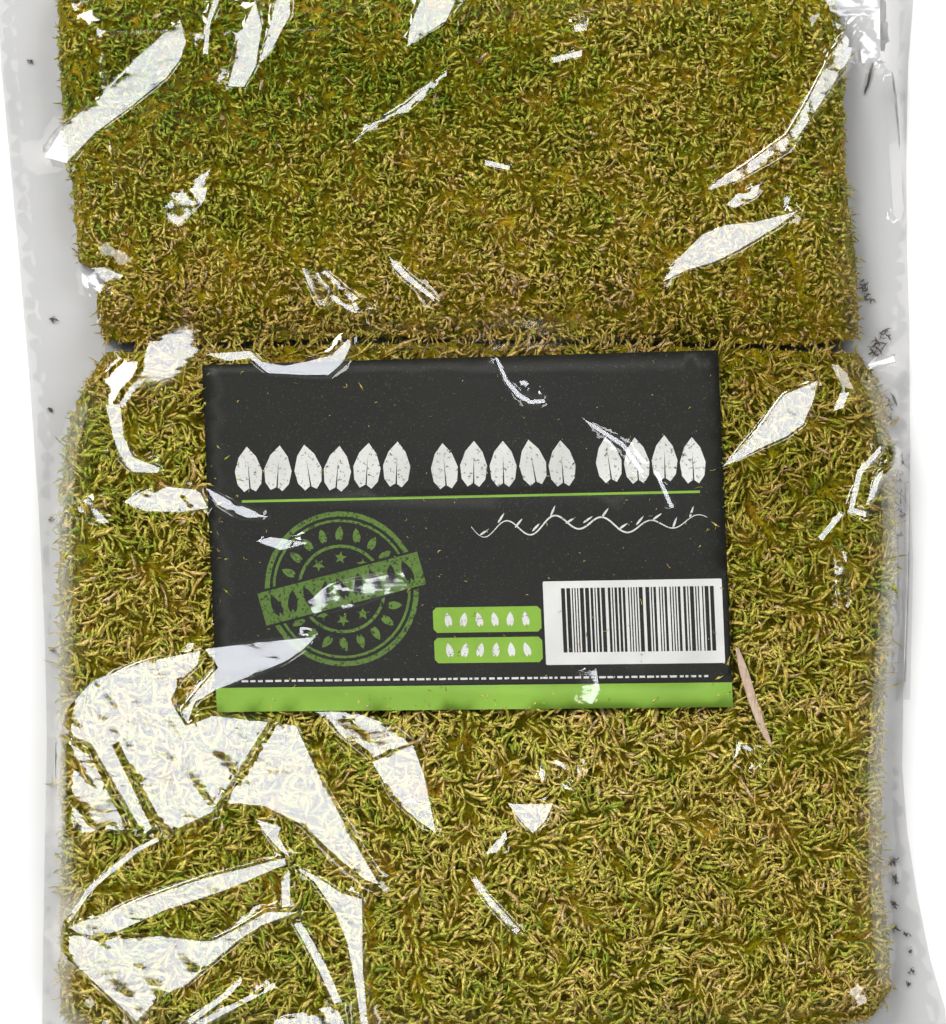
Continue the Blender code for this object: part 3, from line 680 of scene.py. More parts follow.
def print_finish(name, ink, under, wear, spots=500.0):
    """Ink on card: rubbed thin in spots, where the colour under it shows, over the card's fine tooth."""
    material, use, shader = finish(name)
    worn = use.node("ShaderNodeGroup", {"Spots per Metre": spots, "Wear": wear}, node_tree=PRINT_WEAR)
    cloud = use.spread(use.noise(45.0, detail=3.0), 0.3, 0.7, 0.88, 1.12)
    fresh = use.node("ShaderNodeHueSaturation", {"Color": (*ink, 1.0), "Value": cloud}).outputs["Color"]
    use.wire(shader, {"Base Color": use.mix(worn.outputs["Kept"], under, fresh),
                      "Roughness": use.spread(worn.outputs["Tooth"], 0.3, 0.7, *PRINT_ROUGHNESS),
                      "Normal": use.bump(worn.outputs["Tooth"], 0.25, 0.03 * MM)})
    return material


def straw_finish(name, pale, dark):
    """Dry straw or twig: streaks along it and small darker leaf scars."""
    material, use, shader = finish(name)
    mottle = use.node("ShaderNodeGroup", {"Leaves per Metre": 500.0, "Contrast": 0.6}, node_tree=LEAF_MOTTLE)
    streaks = use.noise(1.0, detail=3.0, where=use.spots(stretch=(2400.0, 160.0, 900.0), turn=0.35))
    colour = use.mix(use.spread(streaks, 0.35, 0.65), pale, dark)
    lit = use.node("ShaderNodeHueSaturation", {"Color": colour, "Value": mottle.outputs["Shade"]})
    use.wire(shader, {"Base Color": lit.outputs["Color"], "Normal": use.bump(streaks, 0.4, 0.15 * MM),
                      "Roughness": use.spread(streaks, 0.3, 0.7, 0.5, 0.75)})
    return material


SHOOTS = shoot_finish()
BED = bed_finish()
FILM = film_finish()
STRAW = straw_finish("dry_straw", (0.78, 0.60, 0.46), (0.55, 0.38, 0.26))
TWIG = straw_finish("dark_twig", (0.13, 0.10, 0.06), (0.05, 0.035, 0.02))
CARD_BLACK = (0.010, 0.011, 0.007)
CARD_DUST = (0.12, 0.115, 0.09)
CARD_FINISHES = [print_finish("card_black", CARD_BLACK, CARD_DUST, 0.36, spots=1500.0),
                 print_finish("green_ink", (0.27, 0.50, 0.052), CARD_BLACK, 0.30),
                 print_finish("stamp_ink", (0.12, 0.22, 0.035), CARD_BLACK, 0.46, spots=900.0),
                 print_finish("white_ink", (0.80, 0.80, 0.76), CARD_BLACK, 0.40, spots=700.0),
                 print_finish("panel_white", (0.84, 0.84, 0.82), CARD_BLACK, 0.28)]


# The moss

# Patches where the moss differs: middle, reach, how much drier (or greener), how much paler (or darker)
PATCHES = {
    "top_left_green": ((170, 40), 190, -0.34, -0.40),
    "top_centre_green": ((440, 50), 170, -0.30, -0.28),
    "top_right_corner": ((760, 60), 130, -0.10, -0.15),
    "upper_left_ochre": ((190, 280), 130, 0.08, 0.05),
    "upper_ochre": ((480, 230), 150, 0.14, -0.12),
    "left_rim_green": ((90, 470), 100, -0.22, -0.05),
    "left_rim_dry": ((85, 350), 35, 0.45, 0.25),
    "right_rim_olive": ((820, 490), 150, -0.06, -0.75),
    "right_top_olive": ((800, 200), 150, 0.0, -0.2),
    "below_card_pale": ((560, 770), 170, 0.06, 0.30),
    "low_left_olive": ((200, 900), 140, -0.12, 0.05),
    "low_right_dull": ((790, 900), 150, 0.02, -0.12),
    "lower_pale": ((450, 880), 330, -0.07, 0.22),
    "orange_fleck": ((855, 1000), 14, 0.40, 0.05),
}
GENERAL_DRYNESS = 0.47
GENERAL_TONE = 0.55
# Clumps that are drier or paler than the rest: by how much, how far apart, and the level of their noise
DRY_CLUMPS = [(0.18, 22 * MM, 5.0), (0.22, 9 * MM, 2.0), (0.10, 4 * MM, 3.0)]
PALE_CLUMPS = [(0.24, 13 * MM, 7.0), (0.20, 6 * MM, 9.0)]
DRYNESS_CHANCE = 0.15
TONE_CHANCE = 0.16
# How much drier the moss is in and near the furrow between the mats, and how much darker as painted shade
FURROW_DRYNESS = 0.14
FURROW_SHADE = 0.30
STRAW_SHARE = 0.02


def patch_values(points):
    """How dry and how pale the moss is at some points, from the patches, the clumps, chance and a painted
    shade in the furrow between the mats.
    """
    count = len(points)
    dryness = np.full(count, GENERAL_DRYNESS)
    tone = np.full(count, GENERAL_TONE)
    for middle, reach, drier, paler in PATCHES.values():
        gap = np.hypot(*(points - place(middle)).T) / (reach * PIXEL)
        share = np.exp(-gap * gap)
        dryness += drier * share
        tone += 0.5 * paler * share
    for values, clumps, chance in ((dryness, DRY_CLUMPS, DRYNESS_CHANCE), (tone, PALE_CLUMPS, TONE_CHANCE)):
        for amount, spacing, level in clumps:
            values += amount * ripples(points, spacing, level)
        values += RANDOM.normal(0.0, chance, count)
    # Painted shade: the moss in and near the furrow between the mats is painted darker; it is also made drier
    # there
    shaded = furrow_share(points, 3 * FURROW_HALF_WIDTH)
    dryness += FURROW_DRYNESS * shaded
    tone -= FURROW_SHADE * shaded
    straw = RANDOM.random(count) < STRAW_SHARE
    dryness[straw] = RANDOM.uniform(0.85, 1.0, straw.sum())
    return {"dryness": np.clip(dryness, 0.0, 1.0), "tone": np.clip(tone, 0.0, 1.0)}


BED_POINT_SPACING = 2.7 * MM
BED_RIM_SPACING = 2.5 * MM
BED_RIM_RAGGEDNESS = 0.35 * MM
BED_DEPTH = 3.0 * MM
BED_CREASE_DEPTH = 3.2 * MM
BED_CREASE_SHARPNESS = 2.2
BED_TUFT_SPACING = 13 * MM
BED_GRAIN = 0.5 * MM
BED_FURROW_DEPTH = 5 * MM
BED_LEAST_TOP = FLOOR_OF_MOSS + 1.2 * MM
BED_UNDERSIDE = FLOOR_OF_MOSS + 0.6 * MM


def bed_top(points):
    """The top of the dark bed that the shoots grow from."""
    tuft_share = np.clip(BED_CREASE_SHARPNESS * np.abs(ripples(points, BED_TUFT_SPACING, 0.1)), 0.0, 1.0)
    grain = BED_GRAIN * ripples(points, 3 * MM, 3.0)
    top = crown_height(points) - BED_DEPTH - BED_CREASE_DEPTH * (1.0 - tuft_share) + grain
    return np.maximum(BED_LEAST_TOP, top - BED_FURROW_DEPTH * furrow_share(points, FURROW_HALF_WIDTH))


def make_bed(name, outline):
    """The dark bed of one mat, a closed solid with a lumpy top and an uneven underside."""
    rim = walk_outline(outline, BED_RIM_SPACING)
    rim = rim + RANDOM.normal(0.0, BED_RIM_RAGGEDNESS, rim.shape)
    flat_mesh = triangulate(rim, [], staggered_points(rim, BED_POINT_SPACING, 0.3))
    corners = flat_mesh[0]
    underside = BED_UNDERSIDE + BED_GRAIN * ripples(corners, 5 * MM, 4.0)
    mesh = slab(name, flat_mesh, bed_top(corners), underside)
    return show(name, mesh, [BED])


SHOOT_STATIONS = np.array([0.0, 0.22, 0.42, 0.62, 0.82, 1.0])
SHOOT_OUTLINE = np.array([0.60, 1.0, 0.66, 0.96, 0.56, 0.0])
SHOOT_FLATNESS = 0.6
LOWEST_SHOOT = FLOOR_OF_MOSS + 0.3 * MM
HIGHEST_TIP = 1.0 * MM
SHOOT_FURROW_DEPTH = 4.5 * MM
FLOW_SPACING = 16 * MM
RIM_REACH_SHARE = 0.45
FULL_REACH_DEPTH = 12 * MM


def shoot_paths(feet, heading, reach, curl, foot_drop, tip_rise):
    """Paths that rise out of the bed and then lie over, each turning one way as it goes."""
    turn = heading[:, None] + curl[:, None] * (SHOOT_STATIONS[None] - 0.5)
    length = reach[:, None] * SHOOT_STATIONS[None] ** 1.25
    steps = np.diff(length, axis=1, prepend=0.0)
    x = feet[:, :1] + np.cumsum(steps * np.cos(turn), axis=1)
    y = feet[:, 1:] + np.cumsum(steps * np.sin(turn), axis=1)
    flat = np.stack([x, y], axis=2)
    crown = crown_height(flat.reshape(-1, 2)).reshape(x.shape)
    furrow = SHOOT_FURROW_DEPTH * furrow_share(flat.reshape(-1, 2), FURROW_HALF_WIDTH).reshape(x.shape)
    rise = 1.0 - (1.0 - SHOOT_STATIONS[None]) ** 1.8
    height = crown - foot_drop[:, None] * (1.0 - rise) + tip_rise[:, None] * rise - furrow
    height = np.clip(height, LOWEST_SHOOT, crown + HIGHEST_TIP)
    return np.concatenate([flat, height[..., None]], axis=2)


def grow_shoots(name, feet, style):
    """One mesh of shoots on the feet given."""
    count = len(feet)
    flow = 2 * math.pi * ripples(feet, FLOW_SPACING, 6.0)
    heading = flow + RANDOM.normal(0.0, style["disorder"], count)
    rim_share = np.clip(RIM_REACH_SHARE + depth_inside(feet, MOSS_OUTLINE) / FULL_REACH_DEPTH, 0.0, 1.0)
    reach = RANDOM.gamma(5.0, style["reach"] / 5.0, count) * rim_share
    curl = RANDOM.normal(0.0, style["curl"], count)
    foot_drop = RANDOM.uniform(2.5, 4.5, count) * MM
    tip_rise = RANDOM.uniform(-2.4, 1.2, count) * MM
    paths = shoot_paths(feet, heading, reach, curl, foot_drop, tip_rise)
    widest = style["half_width"] * np.clip(RANDOM.normal(1.0, 0.28, count), 0.45, 1.7)
    values = patch_values(feet)
    roll = RANDOM.uniform(0, FULL_ROLL, count)
    mesh = spindles(name, paths, widest[:, None] * SHOOT_OUTLINE[None], SHOOT_FLATNESS, roll, values)
    return show(name, mesh, [SHOOTS])


SHORT_SHOOTS = {"reach": 3.3 * MM, "curl": 1.4, "disorder": 0.8, "half_width": 0.64 * MM}
LONG_SHOOTS = {"reach": 5.6 * MM, "curl": 1.3, "disorder": 0.6, "half_width": 0.70 * MM}
SHOOTS_PER_PIECE = 7100
UPPER_SHOOT_SPACING = 1.75 * MM
LOWER_SHOOT_SPACING = 1.94 * MM
CARD_HIDES_FROM = 4 * MM


def cover_mat(name, outline, spacing, style):
    """Shoots all over one mat, in as many pieces as they need. None grow far under the card."""
    feet = staggered_points(outline, spacing, 0.5)
    feet = feet[depth_inside(feet, CARD_OUTLINE) <= CARD_HIDES_FROM]
    RANDOM.shuffle(feet)
    pieces = math.ceil(len(feet) / SHOOTS_PER_PIECE)
    for index, part in enumerate(np.array_split(feet, pieces)):
        grow_shoots(f"{name}_{index + 1}", part, style)


UPPER_FRINGE_COUNT = 1300
LOWER_FRINGE_COUNT = 1700
FRINGE_REACH = 2.2 * MM
FRINGE_FLATNESS = 0.7
LOWEST_FRINGE = FLOOR_OF_MOSS + 0.4 * MM


def fringe_mat(name, outline, count):
    """Shoots that stick out of the rim of one mat at every height."""
    rim = walk_outline(outline, 1.0 * MM)
    ahead = np.roll(rim, -1, axis=0) - np.roll(rim, 1, axis=0)
    pick = RANDOM.integers(0, len(rim), count)
    outward = np.arctan2(-ahead[pick, 0], ahead[pick, 1])
    heading = outward + RANDOM.normal(0.0, 0.6, count)
    inward = RANDOM.uniform(0.5, 2.5, count)[:, None] * MM
    feet = rim[pick] - inward * unit_step(outward)
    stations = SHOOT_STATIONS[None, :, None]
    reach = RANDOM.gamma(4.0, FRINGE_REACH / 4.0, count)[:, None, None]
    onward, across = unit_step(heading)[:, None], unit_step(heading + math.pi / 2)[:, None]
    sway = RANDOM.normal(0.0, 0.35, count)[:, None, None]
    flat = feet[:, None] + reach * (onward * stations + across * sway * stations ** 2)
    crown = crown_height(flat.reshape(-1, 2)).reshape(count, -1)
    level = RANDOM.uniform(0.0, 1.0, count)[:, None]
    base = LOWEST_FRINGE + level * (crown[:, :1] - LOWEST_FRINGE)
    slope = RANDOM.normal(0.0, 1.0 * MM, count)[:, None]
    height = np.maximum(np.minimum(base + slope * SHOOT_STATIONS, crown + 0.3 * MM), LOWEST_FRINGE)
    paths = np.concatenate([flat, height[..., None]], axis=2)
    widest = RANDOM.uniform(0.28, 0.5, count) * MM
    roll = RANDOM.uniform(0, FULL_ROLL, count)
    mesh = spindles(name, paths, widest[:, None] * SHOOT_OUTLINE[None], FRINGE_FLATNESS, roll,
                    patch_values(feet))
    return show(name, mesh, [SHOOTS])


def make_moss():
    """Both mats: their beds, shoots and fringes."""
    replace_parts(make_bed("moss_bed_upper", UPPER_MAT), "moss_sheet_upper")
    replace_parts(make_bed("moss_bed_lower", LOWER_MAT), "moss_sheet_lower")
    cover_mat("upper_shoots", UPPER_MAT, UPPER_SHOOT_SPACING, SHORT_SHOOTS)
    cover_mat("lower_shoots", LOWER_MAT, LOWER_SHOOT_SPACING, LONG_SHOOTS)
    fringe_mat("upper_fringe", UPPER_MAT, UPPER_FRINGE_COUNT)
    fringe_mat("lower_fringe", LOWER_MAT, LOWER_FRINGE_COUNT)


# The card. Places on it are card pixels: `u` to the right from its left side, `v` down from its top

CARD_SIZE = (516, 347)
CARD_POINT_SPACING = 6 * MM


def card_place(u, v):
    """The point, in metres, of a place on the card."""
    corner = {name: np.array(place(pixel)) for name, pixel in CARD_CORNERS.items()}
    across, down = u / CARD_SIZE[0], v / CARD_SIZE[1]
    top = corner["top_left"] * (1 - across) + corner["top_right"] * across
    low = corner["low_left"] * (1 - across) + corner["low_right"] * across
    return top * (1 - down) + low * down


def turned(shape, centre, turn):
    """A shape drawn about (0, 0), turned clockwise by some degrees and moved to its place."""
    cos, sin = math.cos(math.radians(turn)), math.sin(math.radians(turn))
    return [(centre[0] + x * cos - y * sin, centre[1] + x * sin + y * cos) for x, y in shape]


def leaf_shape(centre, length, width, turn, notch=0.0):
    """A pointed leaf that stands upright, with a notch where its stalk would be."""
    half = [(0.0, -0.5), (0.62, -0.28), (0.98, 0.02), (0.85, 0.30), (0.42, 0.46)]
    right = [(0.5 * width * x, length * y) for x, y in half]
    left = [(-x, y) for x, y in reversed(right[1:])]
    return turned(right + [(0.0, length * (0.5 - notch))] + left, centre, turn)


def vein_shape(centre, length, turn):
    """The thin line down the middle of a leaf."""
    return turned([(-0.5, 0.5 * length), (0.0, -0.24 * length), (1.1, 0.5 * length)], centre, turn)


def round_shape(centre, radius, sides=40):
    """A circle."""
    turns = [2 * math.pi * side / sides for side in range(sides)]
    return [(centre[0] + radius * math.cos(turn), centre[1] + radius * math.sin(turn)) for turn in turns]


def star_shape(centre, radius, turn=0.0):
    """A five-pointed star."""
    points = []
    for corner in range(10):
        angle, reach = math.pi * corner / 5, radius * (1.0 if corner % 2 == 0 else 0.42)
        points.append((reach * math.sin(angle), -reach * math.cos(angle)))
    return turned(points, centre, turn)


def plate_shape(left, top, right, low, corner=0.0):
    """A rectangle, with cut corners where a corner size is given."""
    if not corner:
        return [(left, top), (right, top), (right, low), (left, low)]
    return [(left + corner, top), (right - corner, top), (right, top + corner), (right, low - corner),
            (right - corner, low), (left + corner, low), (left, low - corner), (left, top + corner)]


def stroke_shape(line, width):
    """A thin stroke along a line, narrower at its ends."""
    line = np.array(line, float)
    fullness = 0.35 + 0.65 * np.sin(np.linspace(0.0, math.pi, len(line)))
    side = 0.5 * width * sideways(line) * fullness[:, None]
    return [tuple(point) for point in np.concatenate([line + side, (line - side)[::-1]])]


BLACK, GREEN, STAMP, WHITE, PAPER = range(5)
BASE_BAND_TOP = 323
RULE = (34, 136, 492, 138.4)
# Rows of pale leaves: where each starts and ends, and how many leaves it has
LEAF_ROWS = [(27, 205, 6), (223, 370, 5), (388, 500, 4)]
LEAF_ROW_MIDDLE = 106
VINE_STATIONS = 110
STAMP_CENTRE = (130, 226)
STAMP_RINGS = [(77, STAMP), (72, BLACK), (69, STAMP), (66.5, BLACK), (44, STAMP), (41, BLACK)]
STAMP_STARS = [(-22, -24), (0, -31), (22, -24), (-20, 25), (0, 31), (20, 25)]
STAMP_BANDS = [(86, 19, BLACK), (83, 16.5, STAMP)]
STAMP_SLANT = -13.5
PLATES = [(220, 246, 328, 271), (220, 276, 328, 301)]
PANEL = (331, 222, 510, 304)
BARS = (349, 229, 505, 292)
DASHES = (26, 315.6, 490, 317.6)


def stamp_shapes():
    """The round stamp: rings with leaves and stars between them, and a slanted band across it."""
    shapes = [(round_shape(STAMP_CENTRE, radius), ink) for radius, ink in STAMP_RINGS]
    for step in range(20):
        turn = 18 * step
        centre = turned([(0.0, -55.0)], STAMP_CENTRE, turn)[0]
        shapes.append((leaf_shape(centre, 15, 8, turn + RANDOM.uniform(-25, 25), 0.15), STAMP))
    for across, down in STAMP_STARS:
        centre = (STAMP_CENTRE[0] + across, STAMP_CENTRE[1] + down)
        shapes.append((star_shape(centre, 6.5, RANDOM.uniform(0, 40)), STAMP))
    for half_length, half_height, ink in STAMP_BANDS:
        band = plate_shape(-half_length, -half_height, half_length, half_height)
        shapes.append((turned(band, STAMP_CENTRE, STAMP_SLANT), ink))
    for step in range(9):
        centre = turned([(-68.0 + 17.0 * step, 0.0)], STAMP_CENTRE, STAMP_SLANT)[0]
        lean = 14 if step % 2 else -12
        shapes.append((leaf_shape(centre, 24, 10, STAMP_SLANT + lean, 0.2), BLACK))
    return shapes


def leaf_row_shapes():
    """The rows of pale leaves, each leaf with a dark vein."""
    shapes = []
    for left, right, count in LEAF_ROWS:
        pitch = (right - left) / count
        for step in range(count):
            centre = (left + pitch * (step + 0.5), LEAF_ROW_MIDDLE + RANDOM.uniform(-1.5, 1.5))
            turn = RANDOM.uniform(-9, 9)
            shapes.append((leaf_shape(centre, 47, 0.94 * pitch, turn, 0.12), WHITE))
            shapes.append((vein_shape(centre, 40, turn), BLACK))
    return shapes


def vine_shapes():
    """A wavy vine with narrow leaves above it that all lean one way."""
    vine = [(262 + 236 * share, 167 + 9 * math.sin(31 * share) * (1 - 0.5 * share) + 3 * math.sin(11 * share))
            for share in np.linspace(0, 1, VINE_STATIONS)]
    shapes = [(stroke_shape(vine, 1.7), WHITE)]
    for station in range(6, VINE_STATIONS - 6, 8):
        across, down = vine[station]
        shapes.append((leaf_shape((across, down - 5), 12, 2.2, RANDOM.uniform(20, 60)), WHITE))
    return shapes


def plate_shapes():
    """Two green plates with a row of small leaves on each."""
    shapes = []
    for left, top, right, low in PLATES:
        shapes.append((plate_shape(left, top, right, low, 3.5), GREEN))
        for step in range(6):
            centre = (left + 15 + 15.5 * step, 0.5 * (top + low))
            shapes.append((leaf_shape(centre, 15, 7.5, RANDOM.uniform(-20, 20), 0.2), WHITE))
    return shapes


def bar_shapes():
    """Bars of made-up widths on the white panel."""
    left, top, right, low = BARS
    shapes = [(plate_shape(*PANEL, 1.0), PAPER)]
    while left < right - 4:
        width = float(RANDOM.choice([1.3, 1.3, 2.6, 3.9]))
        shapes.append((plate_shape(left, top, left + width, low), BLACK))
        left += width + float(RANDOM.choice([1.4, 1.4, 2.8]))
    return shapes


def dash_shapes():
    """A line of short dashes above the base band."""
    left, top, right, low = DASHES
    shapes = []
    while left < right:
        width = RANDOM.uniform(2.5, 8.0)
        shapes.append((plate_shape(left, top, left + width, low), WHITE))
        left += width + RANDOM.uniform(1.6, 3.2)
    return shapes


def print_shapes():
    """Everything printed on the card, from the first ink to the last: shapes in card pixels, their inks."""
    shapes = [(plate_shape(0, BASE_BAND_TOP, *CARD_SIZE), GREEN), (plate_shape(*RULE), GREEN)]
    return (shapes + leaf_row_shapes() + vine_shapes() + stamp_shapes() + plate_shapes() + bar_shapes()
            + dash_shapes())


def make_card():
    """The card, with its print cut into its face so that every ink keeps a clean edge."""
    shapes = [(np.array([card_place(*point) for point in shape]), ink) for shape, ink in print_shapes()]
    rim = walk_outline(CARD_OUTLINE, CARD_POINT_SPACING)
    loops = [shape for shape, _ in shapes]
    flat_mesh = triangulate(rim, loops, staggered_points(rim, CARD_POINT_SPACING, 0.1))
    corners, faces = flat_mesh[0], flat_mesh[1]
    middles = np.array([corners[list(face)].mean(axis=0) for face in faces])
    paint = np.full(len(faces), BLACK)
    for shape, ink in shapes:
        paint[is_inside(middles, shape)] = ink
    rest = crown_height(corners) + GAP
    mesh = slab("card", (corners, faces, flat_mesh[2], []), rest + CARD_THICKNESS, rest, paint.tolist())
    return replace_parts(show("card", mesh, CARD_FINISHES), "label_card")


# The dry stem, the crumbs and the twigs

STEM_STATIONS = 25
STEM_COLUMNS = 6
STEM_LEAST_THICKNESS = 0.12 * MM
STEM_RIB_HEIGHT = 0.45 * MM


def make_stem():
    """The dry stem: a flat blade with a raised rib and slightly wavy sides."""
    line = places(STEM_LINE)
    spots = np.linspace(0.0, len(line) - 1.0, STEM_STATIONS)
    centre = np.stack([np.interp(spots, range(len(line)), line[:, axis]) for axis in (0, 1)], axis=1)
    side = sideways(centre)
    half = np.interp(spots, range(len(line)), STEM_HALF_WIDTHS) * (1 + 0.10 * np.sin(2.3 * spots))
    shares = np.linspace(-1.0, 1.0, STEM_COLUMNS + 1)
    corners = (centre[:, None] + shares[None, :, None] * half[:, None, None] * side[:, None]).reshape(-1, 2)
    wide = STEM_COLUMNS + 1
    last = wide * (STEM_STATIONS - 1)
    faces = [(i + wide, i + wide + 1, i + 1, i) for i in range(last) if i % wide < STEM_COLUMNS]
    rim = list(range(wide)) + [wide * row + STEM_COLUMNS for row in range(1, STEM_STATIONS)]
    rim += [last + column for column in range(STEM_COLUMNS - 1, -1, -1)]
    rim += [wide * row for row in range(STEM_STATIONS - 2, 0, -1)]
    rib = np.tile(1.0 - 0.8 * np.abs(shares) ** 0.8, STEM_STATIONS)
    rest = crown_height(corners) + GAP
    top = rest + STEM_LEAST_THICKNESS + STEM_RIB_HEIGHT * rib
    mesh = slab("stem", (corners, faces, rim[::-1], []), top, rest)
    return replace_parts(show("stem", mesh, [STRAW]), "dry_stem")


LOOSE_BIT_OUTLINE = np.array([0.3, 1.0, 0.8, 0.9, 0.5, 0.0])
LOOSE_BIT_FLATNESS = 0.45


def scattered_spindles(name, middles, heights, lengths, half_widths, values, material=SHOOTS):
    """Loose bits that lie flat: short curved spindles at their middles."""
    count = len(middles)
    shares = SHOOT_STATIONS - 0.5
    turn = RANDOM.uniform(0, 2 * math.pi, count)[:, None] + RANDOM.normal(0, 1.0, count)[:, None] * shares
    x = middles[:, :1] + lengths[:, None] * shares * np.cos(turn)
    y = middles[:, 1:] + lengths[:, None] * shares * np.sin(turn)
    z = np.broadcast_to(heights[:, None], x.shape)
    paths = np.stack([x, y, z], axis=2)
    roll = RANDOM.uniform(0, FULL_ROLL, count)
    mesh = spindles(name, paths, half_widths[:, None] * LOOSE_BIT_OUTLINE, LOOSE_BIT_FLATNESS, roll, values)
    return show(name, mesh, [material])


CARD_CRUMBS = 170
CRUMB_MARGIN = 4
CRUMB_LIFT = 0.22 * MM
THREADS_PER_BIT = 7
TWIG_LINE = [(874, 62), (871, 72), (868, 84), (866, 90), (865, 95)]
TWIG_HALF_WIDTHS = np.array([[0.45, 0.55, 0.5, 0.42, 0.0]]) * MM
TWIG_HEIGHT = FLOOR_OF_MOSS + 0.25 * MM
# Tangles of dark threads between the films: middle and reach, in pixels of the view
MARGIN_BITS = [(864, 285, 12), (868, 297, 9), (885, 333, 14), (880, 345, 16), (874, 352, 9), (888, 402, 14),
               (890, 420, 12), (899, 476, 10), (901, 498, 14), (900, 515, 12), (897, 535, 9), (893, 862, 8),
               (896, 880, 9), (894, 905, 8), (896, 930, 10), (908, 936, 6), (911, 952, 5), (913, 972, 6),
               (909, 985, 5), (30, 60, 5), (52, 320, 6), (48, 410, 6), (50, 520, 5), (52, 650, 6)]


def make_card_crumbs():
    """Crumbs of moss on the card."""
    across, down = (RANDOM.uniform(CRUMB_MARGIN, side - CRUMB_MARGIN, CARD_CRUMBS) for side in CARD_SIZE)
    middles = np.array([card_place(u, v) for u, v in zip(across, down)])
    lengths = RANDOM.gamma(2.0, 0.5 * MM, CARD_CRUMBS)
    values = {"dryness": RANDOM.uniform(0.35, 1.0, CARD_CRUMBS),
              "tone": RANDOM.uniform(0.1, 0.9, CARD_CRUMBS)}
    heights = crown_height(middles) + GAP + CARD_THICKNESS + CRUMB_LIFT
    half_widths = RANDOM.uniform(0.10, 0.24, CARD_CRUMBS) * MM
    scattered_spindles("card_crumbs", middles, heights, lengths, half_widths, values)


def make_margin_bits():
    """Tangles of dark threads and one twig between the films at the bag's sides."""
    bits = np.repeat(np.array(MARGIN_BITS, float), THREADS_PER_BIT, axis=0)
    count = len(bits)
    middles = places(bits[:, :2]) + RANDOM.normal(0.0, 0.22, (count, 2)) * bits[:, 2:] * PIXEL
    lengths = RANDOM.uniform(0.4, 1.1, count) * bits[:, 2] * PIXEL
    heights = FLOOR_OF_MOSS + RANDOM.uniform(0.1, 0.4, count) * MM
    half_widths = RANDOM.uniform(0.16, 0.36, count) * MM
    scattered_spindles("margin_bits", middles, heights, lengths, half_widths, None, TWIG)
    line = places(TWIG_LINE)
    path = np.concatenate([line, np.full((len(line), 1), TWIG_HEIGHT)], axis=1)[None]
    show("twig", spindles("twig", path, TWIG_HALF_WIDTHS, 0.5, np.zeros(1)), [TWIG])


ROOTS = 700
ROOTS_FROM_RIM = 8 * MM


def make_roots():
    """Thin brown strands on the underside of the mats."""
    low, high = MOSS_OUTLINE.min(axis=0), MOSS_OUTLINE.max(axis=0)
    middles = RANDOM.uniform(low, high, (2 * ROOTS, 2))
    middles = middles[depth_inside(middles, MOSS_OUTLINE) > ROOTS_FROM_RIM][:ROOTS]
    count = len(middles)
    lengths = RANDOM.uniform(8, 26, count) * MM
    values = {"dryness": RANDOM.uniform(0.6, 1.0, count), "tone": RANDOM.uniform(0.0, 0.5, count)}
    heights = FLOOR_OF_MOSS + RANDOM.uniform(0.25, 0.6, count) * MM
    half_widths = RANDOM.uniform(0.12, 0.22, count) * MM
    scattered_spindles("root_strands", middles, heights, lengths, half_widths, values)


# The film

FILM_POINT_SPACING = 3.2 * MM
FINE_POINT_SPACING = 1.6 * MM
CRUMPLE_HEIGHT = 0.10 * MM
CRUMPLE_LENGTH = 16 * MM
CRUMPLE_WIDTH = 4.5 * MM
CRUMPLE_RUN = math.radians(-50)
LEAST_CRUMPLE = 0.15
# Places where the film is finely crumpled: middle, reach and strength
CRUMPLED = {
    "left_spot": ((183, 200), 42, 1.2),
    "middle_spot": ((335, 288), 48, 1.0),
    "below_stem_spot": ((745, 775), 45, 1.2),
    "right_spot": ((842, 570), 40, 1.2),
    "top_spot": ((578, 24), 24, 1.0),
    "top_right_spot": ((850, 30), 50, 1.2),
}


def crumple(points):
    """How finely crumpled the film is at some points, from 0 up."""
    strength = np.zeros(len(points))
    for middle, reach, most in CRUMPLED.values():
        gap = np.hypot(*(points - place(middle)).T) / (reach * PIXEL)
        strength = np.maximum(strength, most * (1.0 - smooth_share(gap)))
    for _, amount, pixels in FOLDS.values():
        outline = places(pixels)
        inner = is_inside(points, outline) & (nearest_on_outline(points, outline)[1] > 0.3 * MM)
        strength[inner] = np.maximum(strength[inner], amount)
    return strength


def stretched_ripples(points):
    """Smooth ripples that run one way across the film."""
    run = unit_step(CRUMPLE_RUN)
    along = points @ run / CRUMPLE_LENGTH
    across = points @ np.array((-run[1], run[0])) / CRUMPLE_WIDTH
    return 2.0 * ripples(np.stack([along, across], axis=1), 1.0, 8.0)


FLANK_REACHES = (0.6 * MM, 1.6 * MM)


def just_outside(loop, reach):
    """Points a little way outside a loop, where the flank of a fold comes down."""
    ahead = np.roll(loop, -1, axis=0) - np.roll(loop, 1, axis=0)
    outward = np.stack([ahead[:, 1], -ahead[:, 0]], axis=1) / np.linalg.norm(ahead, axis=1, keepdims=True)
    points = loop + reach * outward
    inside = is_inside(points, loop)
    points[inside] = (loop - reach * outward)[inside]
    return points[~is_inside(points, loop)]


